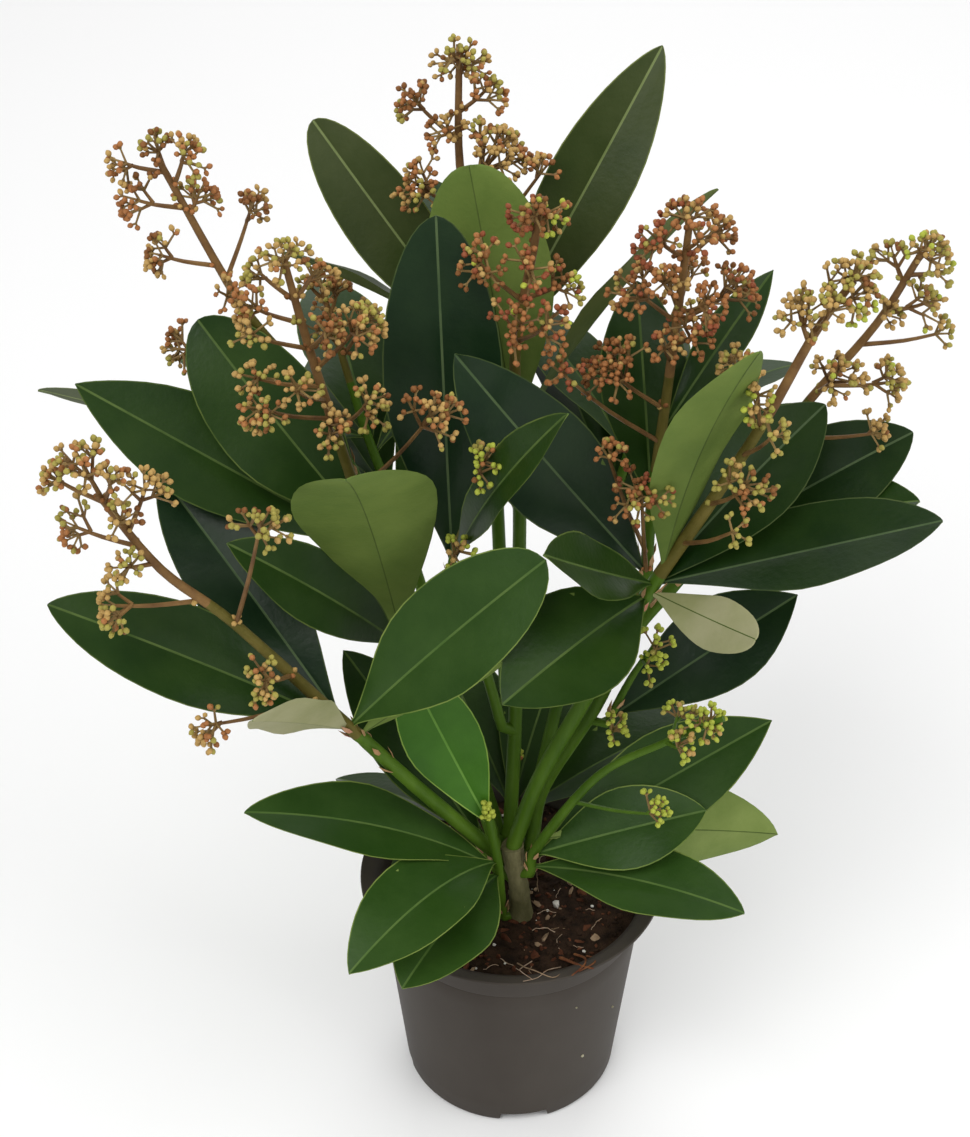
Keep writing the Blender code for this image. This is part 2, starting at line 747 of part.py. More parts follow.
def make_pot(finish):
    """The pot: a turned shell with a flared rim, its underside notched between its feet."""
    profile = [
        (0, 0),
        (BASE_RADIUS - 1.5, 0),
        (wall_radius(1.5), 1.5),
        (wall_radius(BAND_HEIGHT), BAND_HEIGHT),
        (wall_radius(BAND_HEIGHT) + BAND_STEP, BAND_HEIGHT + 0.6),
        *rim_profile(0),
        *reversed(rim_profile(WALL)),
        (wall_radius(FLOOR) - WALL, FLOOR),
        (0, FLOOR),
    ]
    pot = add_object("pot", make_mesh("pot", turned_profile(profile, POT_SEGMENTS)))
    reach = BASE_RADIUS + 10 - PAD_RADIUS
    cutters = []
    for i in range(4):
        corners = [
            Vector((x * FOOT_NOTCH_WIDTH / 2, -PAD_RADIUS - reach * y, z * FOOT_NOTCH_HEIGHT))
            for z in (-1, 1)
            for x, y in ((-1, 0), (1, 0), (1, 1), (-1, 1))
        ]
        turn = Matrix.Rotation(math.radians(90 * i + FOOT_NOTCH_TURN), 3, "Z")
        faces = [(0, 1, 2, 3), (4, 5, 6, 7)]
        faces += [(k, (k + 1) % 4, 4 + (k + 1) % 4, 4 + k) for k in range(4)]
        solid = [turn @ corner for corner in corners], faces
        cutter = add_object(f"notch_{i}", make_mesh(f"notch_{i}", solid))
        cutter.hide_render = True
        cutter.display_type = "WIRE"
        cut = pot.modifiers.new(f"notch_{i}", "BOOLEAN")
        cut.operation = "DIFFERENCE"
        cut.object = cutter
        cut.solver = "EXACT"
        cutters.append(cutter)
    mesh = evaluated_mesh(pot)
    for thing in [pot, *cutters]:
        bpy.data.objects.remove(thing)
    return add_object("pot", mesh, finish)


def soil_height(x, y):
    """The compost's surface: a few low humps, flat where the trunk stands."""
    from_foot = math.hypot(x - TRUNK_FOOT[0], y - TRUNK_FOOT[1])
    humps = math.sin(x * 0.11 + 0.8) * math.cos(y * 0.13 - 0.4) - 0.35
    share = min(max((from_foot - FOOT_CLEARING) / 20, 0), 1)
    return SOIL_TOP + SOIL_RELIEF * humps * share


def make_soil(finish):
    """The compost that fills the pot to a little below its rim."""
    bottom = FLOOR + GAP
    profile = [(0, bottom), (wall_radius(bottom) - WALL - GAP - 0.1, bottom)]
    edge = wall_radius(SOIL_TOP - 3) - WALL - GAP - 0.4
    profile.append((edge - 0.3, SOIL_TOP - 3))
    for share in (1.0, 0.8, 0.55, 0.3):
        profile.append((edge * share, SOIL_TOP))
    profile.append((0, SOIL_TOP))
    points, faces = turned_profile(profile, SOIL_SEGMENTS)
    for p in points:
        if p.z > SOIL_TOP - 1:
            p.z = soil_height(p.x, p.y)
    return add_object("soil", make_mesh("soil", (points, faces)), finish)


def make_trunk(finish):
    """The short trunk, leaning left, flared at its foot and cut flat at soil level."""
    route = smooth_route((TRUNK_FOOT, (3.0, -16.4, 112), (1.4, -16.8, 126), TRUNK_TOP))
    points, faces = tube(route, TRUNK_RADII, TRUNK_SIDES)
    for point in points[:TRUNK_SIDES]:
        point.z = TRUNK_FOOT[2]
    return add_object("trunk", make_mesh("trunk", (points, faces)), finish)


def leafy_shoot(shoot, obstacles, finish):
    """One mass: its stem, leaves and flower head, fused. What would touch another is skipped."""
    stem = smooth_route(shoot.stem)
    rng = random.Random(shoot.name)
    solids = [tube(stem, shoot.radii[1:], STEM_SIDES)]
    leaves = list(shoot.leaves)
    for whorl in shoot.whorls:
        leaves += whorl_leaves(stem, whorl, rng)
    for leaf in leaves:
        base, _ = along(stem, leaf.up)
        if not touched(leaf_solid(base, leaf, CLEARANCE), obstacles):
            solids.append(leaf_solid(base, leaf))
    branches = spray_branches(stem, shoot.spray) if shoot.spray else []
    branches += [sprig_branch(stem, sprig) for sprig in shoot.sprigs]
    heads = []
    for stalk, *forks in branches:
        if touched(twig_solid(*stalk), obstacles):
            continue
        heads.append(stalk[1])
        solids.append(twig_solid(*stalk))
        for start, end in forks:
            crowded = any((end - head).length < HEAD_SPACING for head in heads)
            if not crowded and not touched(twig_solid(start, end), obstacles):
                heads.append(end)
                solids.append(twig_solid(start, end))
    return fuse(shoot.name + "_leaves", solids, finish)


def main():
    for thing in list(bpy.data.objects):
        bpy.data.objects.remove(thing)
    plastic = material("pot_plastic", POT_COLOUR, 0.55)
    compost = material("compost", SOIL_COLOUR, 0.95)
    bark = material("bark", BARK_COLOUR, 0.85)
    green = material("green_stem", STEM_COLOUR, 0.6)
    foliage = material("foliage", LEAF_COLOUR, 0.4)
    made = [make_pot(plastic), make_soil(compost), make_trunk(bark)]
    for shoot in SHOOTS:
        if shoot.bough:
            limb = tube(smooth_route(shoot.bough), (shoot.radii[0], shoot.radii[1]), BOUGH_SIDES)
            name = shoot.name + "_bough"
            made.append(add_object(name, make_mesh(name, limb), green))
    obstacles = [tree_of_object(thing) for thing in made]
    for shoot in SHOOTS:
        mass = leafy_shoot(shoot, obstacles, foliage)
        obstacles.append(tree_of_object(mass))


main()
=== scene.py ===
"""The looks of the potted skimmia: finer leaves, flower heads, stems, pot and compost.

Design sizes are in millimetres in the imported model's frame and are scaled where a mesh is made.
"""

import math
import random
from collections import namedtuple

import bmesh
import bpy
from mathutils import Matrix, Vector, geometry, noise
from mathutils.kdtree import KDTree

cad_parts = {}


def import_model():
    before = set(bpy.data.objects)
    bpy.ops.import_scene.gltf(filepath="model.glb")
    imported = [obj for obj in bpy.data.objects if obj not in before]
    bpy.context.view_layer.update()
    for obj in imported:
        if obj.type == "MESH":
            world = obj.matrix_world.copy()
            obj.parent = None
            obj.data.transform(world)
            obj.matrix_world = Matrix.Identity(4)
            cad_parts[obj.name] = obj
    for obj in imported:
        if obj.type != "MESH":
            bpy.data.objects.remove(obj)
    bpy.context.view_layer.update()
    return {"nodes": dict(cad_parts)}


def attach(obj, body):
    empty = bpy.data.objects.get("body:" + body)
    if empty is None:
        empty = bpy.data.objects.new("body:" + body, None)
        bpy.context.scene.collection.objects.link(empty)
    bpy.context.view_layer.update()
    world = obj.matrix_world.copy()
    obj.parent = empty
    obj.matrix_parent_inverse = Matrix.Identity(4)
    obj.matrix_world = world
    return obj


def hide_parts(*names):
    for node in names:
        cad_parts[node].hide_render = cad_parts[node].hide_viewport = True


# Metres in a millimetre, the gap between solids, and the degrees from one twig or scale to the next
MM = 0.001
GAP = 0.3
GOLDEN_TURN = 137.5

# Pot
POT_HEIGHT = 108.0
RIM_RADIUS = 65.0
NECK_RADIUS = 57.0
NECK_HEIGHT = 101.0
BAND_HEIGHT = 90.0
BAND_STEP = 0.5
FLARE_TURNS = (0, 30, 60, 90)
BASE_RADIUS = 46.5
WALL = 1.4
FLOOR = 7.0
FOOT_NOTCH_WIDTH = 20.0
FOOT_NOTCH_FLARE = 4.0
FOOT_NOTCH_HEIGHT = 5.0
FOOT_NOTCH_TURN = 7
PAD_RADIUS = 22.0
POT_ROUND = 144
POT_SPECKS = ((-52, 35, 0.9), (-33, 54, 0.8), (-60, 74, 0.6))

# Compost: its surface, the litter on it, and the loose roots that reach over the rim
SOIL_TOP = 98.0
SOIL_RELIEF = 2.5
SOIL_SIDE_TOP = SOIL_TOP - 3
SOIL_ROUND = 96
SOIL_RINGS = 34
FOOT_CLEARING = 22.0
CRUMBS = 900
BARK_CHIPS = 150
PERLITE = 46
FIBRES = 60
FIBRE_STEPS = 6
BIG_PERLITE = ((19, -11, 99.2), (3.4, 2.0, 1.5))
CRUMB_FINISHES = ("compost", "red_bark_chip", "pale_chip", "perlite", "root_fibre", "red_root")
EARTH, RED_CHIP, PALE_CHIP, WHITE, PALE_ROOT, RED_ROOT = range(len(CRUMB_FINISHES))
LOOSE_ROOTS = (
    (PALE_CHIP, 0.35, ((2, -46, 100), (5, -53, 105), (9, -58, 108.4), (16, -61.5, 108.2), (20, -58, 107))),
    (PALE_ROOT, 0.25, ((8, -44, 99), (4, -52, 104), (3, -58, 108.3), (8, -63, 108.5))),
    (PALE_ROOT, 0.2, ((20, -50, 102), (14, -57, 107.6), (10, -62, 108.6), (4, -64, 108.6))),
    (RED_ROOT, 0.8, ((20, -42, 99), (24, -48, 103), (28, -54, 107), (33, -57, 108.6))),
    (RED_ROOT, 0.6, ((26, -40, 99), (30, -47, 104), (29, -55, 108.2), (24, -61, 108.8))),
    (RED_ROOT, 0.5, ((31, -42, 100), (34, -48, 105), (33, -54, 108.4), (27, -59, 109))),
    (RED_ROOT, 0.7, ((54, 14, 99), (62, 16, 106), (68, 14, 110), (74, 10, 111), (73, 6, 108.6))),
)

# The twelve corners and twenty faces of a crumb
LUMP_CORNERS = (
    (0, -0.53, -0.85), (0, 0.53, -0.85), (0, -0.53, 0.85), (0, 0.53, 0.85),
    (-0.53, -0.85, 0), (0.53, -0.85, 0), (-0.53, 0.85, 0), (0.53, 0.85, 0),
    (-0.85, 0, -0.53), (-0.85, 0, 0.53), (0.85, 0, -0.53), (0.85, 0, 0.53),
)
LUMP_FACES = (
    (0, 1, 10), (0, 8, 1), (2, 11, 3), (2, 3, 9), (4, 0, 5), (4, 5, 2), (6, 7, 1), (6, 3, 7), (8, 4, 9),
    (8, 9, 6), (10, 7, 11), (10, 11, 5), (0, 10, 5), (0, 4, 8), (1, 7, 10), (1, 8, 6), (2, 5, 11), (2, 9, 4),
    (3, 11, 7), (3, 6, 9),
)

# Trunk, boughs and stems. A limb leaves its parent's axis a little below its own foot.
TRUNK_FOOT = (3.9, -16, SOIL_TOP + GAP)
TRUNK_ROUTE = (TRUNK_FOOT, (3.0, -16.4, 112), (1.4, -16.8, 126), (0, -17, 140))
TRUNK_RADII = (5.4, 4.3, 4.4, 4.9)
TRUNK_ROUND = 28
TRUNK_SCARS = (112, 127)
STEM_STEPS = 6
STEM_ROUND = 12
STEM_RELIEF = 0.1
BOUGH_RELIEF = 0.14
FORK_DROP = 4
FORK_REACH = 13
GREEN_PAST_LEAVES = 14
STEM_FINISHES = ("green_stem", "olive_stem", "red_twig")
GREEN, OLIVE, RED = range(len(STEM_FINISHES))
SCALE_FINISHES = ("rosy_scale", "dry_scale")
ROSY_SCALE, DRY_SCALE = range(len(SCALE_FINISHES))

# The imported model's leaves and twigs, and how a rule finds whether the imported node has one
LEAF_THICKNESS = 1.8
LEAF_SLENDERNESS = 55
LEAF_STATIONS = (0.1, 0.27, 0.5, 0.74, 0.91)
LEAF_FOLD = 0.16
LEAF_BELLY = 1.25
LEAF_BASE = 0.95
PETIOLE = 2.2
HEAD_RADIUS = 4.8
HEAD_SPACING = 7.0
TWIG_RADII = (1.3, 0.9)
SAME_POINT = 0.0006
SAME_SHARE = 0.2

# The fine leaves
LEAF_ROWS = 22
TIP_HALF = 0.3
BLADE_THICKNESS = 0.45
MARGIN_WIDTH = 0.5
RIB_WIDTH = 0.45
RIB_DEPTH = 0.35
RIB_REACH = 1.6
EDGE_WAVE = 1.1

# Each tone of leaf: two greens of the blade, two of its underside and its roughness
LEAF_TONES = {
    "deep": ((0.006, 0.019, 0.007), (0.014, 0.033, 0.011), (0.08, 0.13, 0.03), (0.12, 0.17, 0.04), 0.3),
    # This tone is painted shade: a darker, less blue copy of the dark blade that darkens the leaves on the
    # lit right side.
    "shade": ((0.004, 0.02, 0.001), (0.012, 0.034, 0.002), (0.1, 0.155, 0.03), (0.15, 0.21, 0.045), 0.4),
    "dark": ((0.009, 0.03, 0.003), (0.02, 0.048, 0.006), (0.1, 0.155, 0.03), (0.15, 0.21, 0.045), 0.34),
    "olive": ((0.024, 0.04, 0.006), (0.046, 0.062, 0.016), (0.085, 0.12, 0.03), (0.13, 0.16, 0.05), 0.4),
    "mid": ((0.017, 0.05, 0.005), (0.032, 0.075, 0.011), (0.13, 0.19, 0.04), (0.2, 0.26, 0.07), 0.4),
    "bright": ((0.028, 0.1, 0.006), (0.05, 0.15, 0.012), (0.12, 0.22, 0.04), (0.2, 0.3, 0.08), 0.4),
    "pale": ((0.02, 0.04, 0.009), (0.04, 0.06, 0.016), (0.24, 0.25, 0.11), (0.34, 0.33, 0.19), 0.44),
}
RIB_COLOURS = {
    "deep": ((0.05, 0.085, 0.035), (0.08, 0.12, 0.05)),
    # Midrib of the tone of painted shade, the same as the deep tone's.
    "shade": ((0.05, 0.085, 0.035), (0.08, 0.12, 0.05)),
    "dark": ((0.05, 0.09, 0.02), (0.09, 0.14, 0.035)),
    "olive": ((0.12, 0.16, 0.05), (0.17, 0.21, 0.08)),
    "mid": ((0.06, 0.12, 0.025), (0.1, 0.16, 0.04)),
    "bright": ((0.09, 0.22, 0.03), (0.14, 0.28, 0.05)),
    "pale": ((0.12, 0.16, 0.05), (0.17, 0.21, 0.08)),
}
MARGIN_COLOURS = {
    "deep": ((0.035, 0.06, 0.018), (0.07, 0.1, 0.03)),
    # Margin of the tone of painted shade, the same as the deep tone's.
    "shade": ((0.035, 0.06, 0.018), (0.07, 0.1, 0.03)),
    "dark": ((0.045, 0.08, 0.015), (0.1, 0.14, 0.03)),
    "olive": ((0.09, 0.12, 0.03), (0.16, 0.19, 0.05)),
    "mid": ((0.1, 0.16, 0.03), (0.2, 0.26, 0.06)),
    "bright": ((0.16, 0.28, 0.04), (0.24, 0.36, 0.07)),
    "pale": ((0.2, 0.22, 0.09), (0.3, 0.3, 0.15)),
}
UNDER_RIB_COLOURS = ((0.05, 0.08, 0.015), (0.09, 0.13, 0.03))
TONES = tuple(LEAF_TONES)
BLADE, RIB, MARGIN, UNDER, UNDER_RIB = range(5)

# The flower heads: groups of buds on short stalks at the end of each twig
GREEN_TWIGS = ("low_right", "inner_right")
TWIG_FINISHES = ("olive_stem", "red_twig", "bud_stalk", "green_stem")
RED_TWIG, STALK, GREEN_TWIG = 1, 2, 3
HEAD_CROWDING = 5.0
TWIG_ROUND = 5
TWIG_SAG = 0.03
UMBEL_DEPTH = 5.4
UMBEL_REACH = (3.6, 6.6)
UMBEL_SPREAD = (0.7, 1.2)
UMBEL_RADII = (0.55, 0.42)
STALK_RADII = (0.5, 0.42)
BUD_LENGTH = (2.1, 2.75)
BUD_GIRTH = (0.42, 0.47)
BUD_SIDES = 6
BUD_RINGS = ((0.02, 0.45), (0.26, 0.92), (0.56, 1.0), (0.86, 0.6))
BUD_COLOURS = {
    "tan": (0.4, 0.255, 0.085),
    "olive": (0.3, 0.26, 0.06),
    "copper": (0.31, 0.13, 0.045),
    "brown": (0.19, 0.08, 0.026),
    "lime": (0.33, 0.37, 0.05),
    "brick": (0.23, 0.068, 0.03),
}

# How much of each bud colour a shoot's head has, and how often a bud has its own umbel's colour
BUD_MIXES = {
    "left": (7, 4, 2, 1, 0, 0),
    "low_right": (1, 2, 0, 0, 8, 0),
    "right": (6, 5, 1, 1, 1, 0),
    "inner_right": (1, 2, 0, 0, 8, 0),
    "right_back": (6, 6, 1, 1, 1, 0),
    "centre_right": (3, 1, 6, 3, 0, 2),
    "centre": (2, 1, 4, 3, 1, 4),
    "top": (6, 2, 4, 2, 0, 0),
    "upper_left": (5, 2, 4, 2, 0, 0),
    "mid_left": (7, 4, 3, 1, 0, 0),
    "inner_centre": (2, 2, 1, 1, 6, 0),
    "front": (0, 2, 0, 0, 8, 0),
}
PLAIN_MIX = (4, 3, 3, 2, 0, 0)
OWN_COLOUR_SHARE = 0.62
FRONT_TUFT = 7
PLAIN_TUFT = 3

# The other finishes: two tones, roughness, the pattern's scale, relief and stretch
FINISHES = {
    "green_stem": ((0.04, 0.09, 0.006), (0.08, 0.155, 0.013), 0.42, 60, 0.3, (1, 1, 0.25)),
    "olive_stem": ((0.085, 0.075, 0.013), (0.15, 0.12, 0.028), 0.5, 70, 0.3),
    "red_twig": ((0.12, 0.06, 0.024), (0.23, 0.13, 0.045), 0.5, 90, 0.3),
    "bud_stalk": ((0.17, 0.1, 0.04), (0.28, 0.19, 0.07), 0.5, 90, 0.2),
    "bud_foot": ((0.2, 0.09, 0.035), (0.3, 0.17, 0.06), 0.5, 90, 0.15),
    "rosy_scale": ((0.4, 0.13, 0.1), (0.5, 0.4, 0.2), 0.6, 200, 0.3),
    "dry_scale": ((0.36, 0.2, 0.09), (0.5, 0.32, 0.17), 0.7, 200, 0.3),
    "trunk_bark": ((0.09, 0.085, 0.035), (0.22, 0.2, 0.1), 0.8, 120, 0.8, (1, 1, 0.4)),
    "compost": ((0.012, 0.007, 0.004), (0.045, 0.024, 0.014), 0.95, 150, 1.0),
    "red_bark_chip": ((0.06, 0.02, 0.01), (0.13, 0.05, 0.025), 0.9, 200, 0.6),
    "pale_chip": ((0.2, 0.13, 0.08), (0.34, 0.24, 0.15), 0.9, 200, 0.6),
    "perlite": ((0.55, 0.52, 0.46), (0.75, 0.72, 0.66), 0.9, 300, 0.6),
    "root_fibre": ((0.3, 0.2, 0.13), (0.5, 0.38, 0.28), 0.85, 300, 0.4),
    "red_root": ((0.1, 0.03, 0.015), (0.24, 0.1, 0.04), 0.85, 250, 0.5),
    "pot_plastic": ((0.044, 0.036, 0.029), (0.062, 0.053, 0.044), 0.5, 14, 0.12, (1, 1, 0.6)),
    "dry_speck": ((0.3, 0.28, 0.18), (0.45, 0.42, 0.3), 0.9, 300, 0.5),
}

# Camera and studio, in metres and watts
CAMERA_AT = (-0.0115, -0.711, 0.811)
CAMERA_PITCH = 52.8
CAMERA_LENS = 73.0
WORLD_STRENGTH = 0.5
LIGHT_SIZE = 1.4
LIGHTS = (
    ("key", (-0.7, -1.1, 1.9), (0, 0, 0.25), 27.0),
    ("fill", (1.3, -0.6, 1.2), (0, 0, 0.2), 12.0),
    ("back", (0.2, 1.5, 1.6), (0, 0, 0.25), 13.0),
)

Leaf = namedtuple("Leaf", "up tip width face bow blunt tone", defaults=((0, 0, 1), 0.06, 0.7, "dark"))
Whorl = namedtuple("Whorl", "up count azimuth step rise length width")
Spray = namedtuple("Spray", "start count length lean turn seed")
Sprig = namedtuple("Sprig", "up end heads spread")
Shoot = namedtuple(
    "Shoot", "name stem radii bough leaves whorls spray sprigs", defaults=((), (), (), None, ())
)
Heaps = namedtuple("Heaps", "leaves stems twigs buds scales boughs")

# Which way a leaf's upper side looks. Leaves seen from below turn it to the back.
UP = (0, -0.25, 1)
FRONT_UP = (0, -0.6, 0.8)
FRONT = (0, -0.9, 0.4)
BACK = (0, 0.9, 0.2)

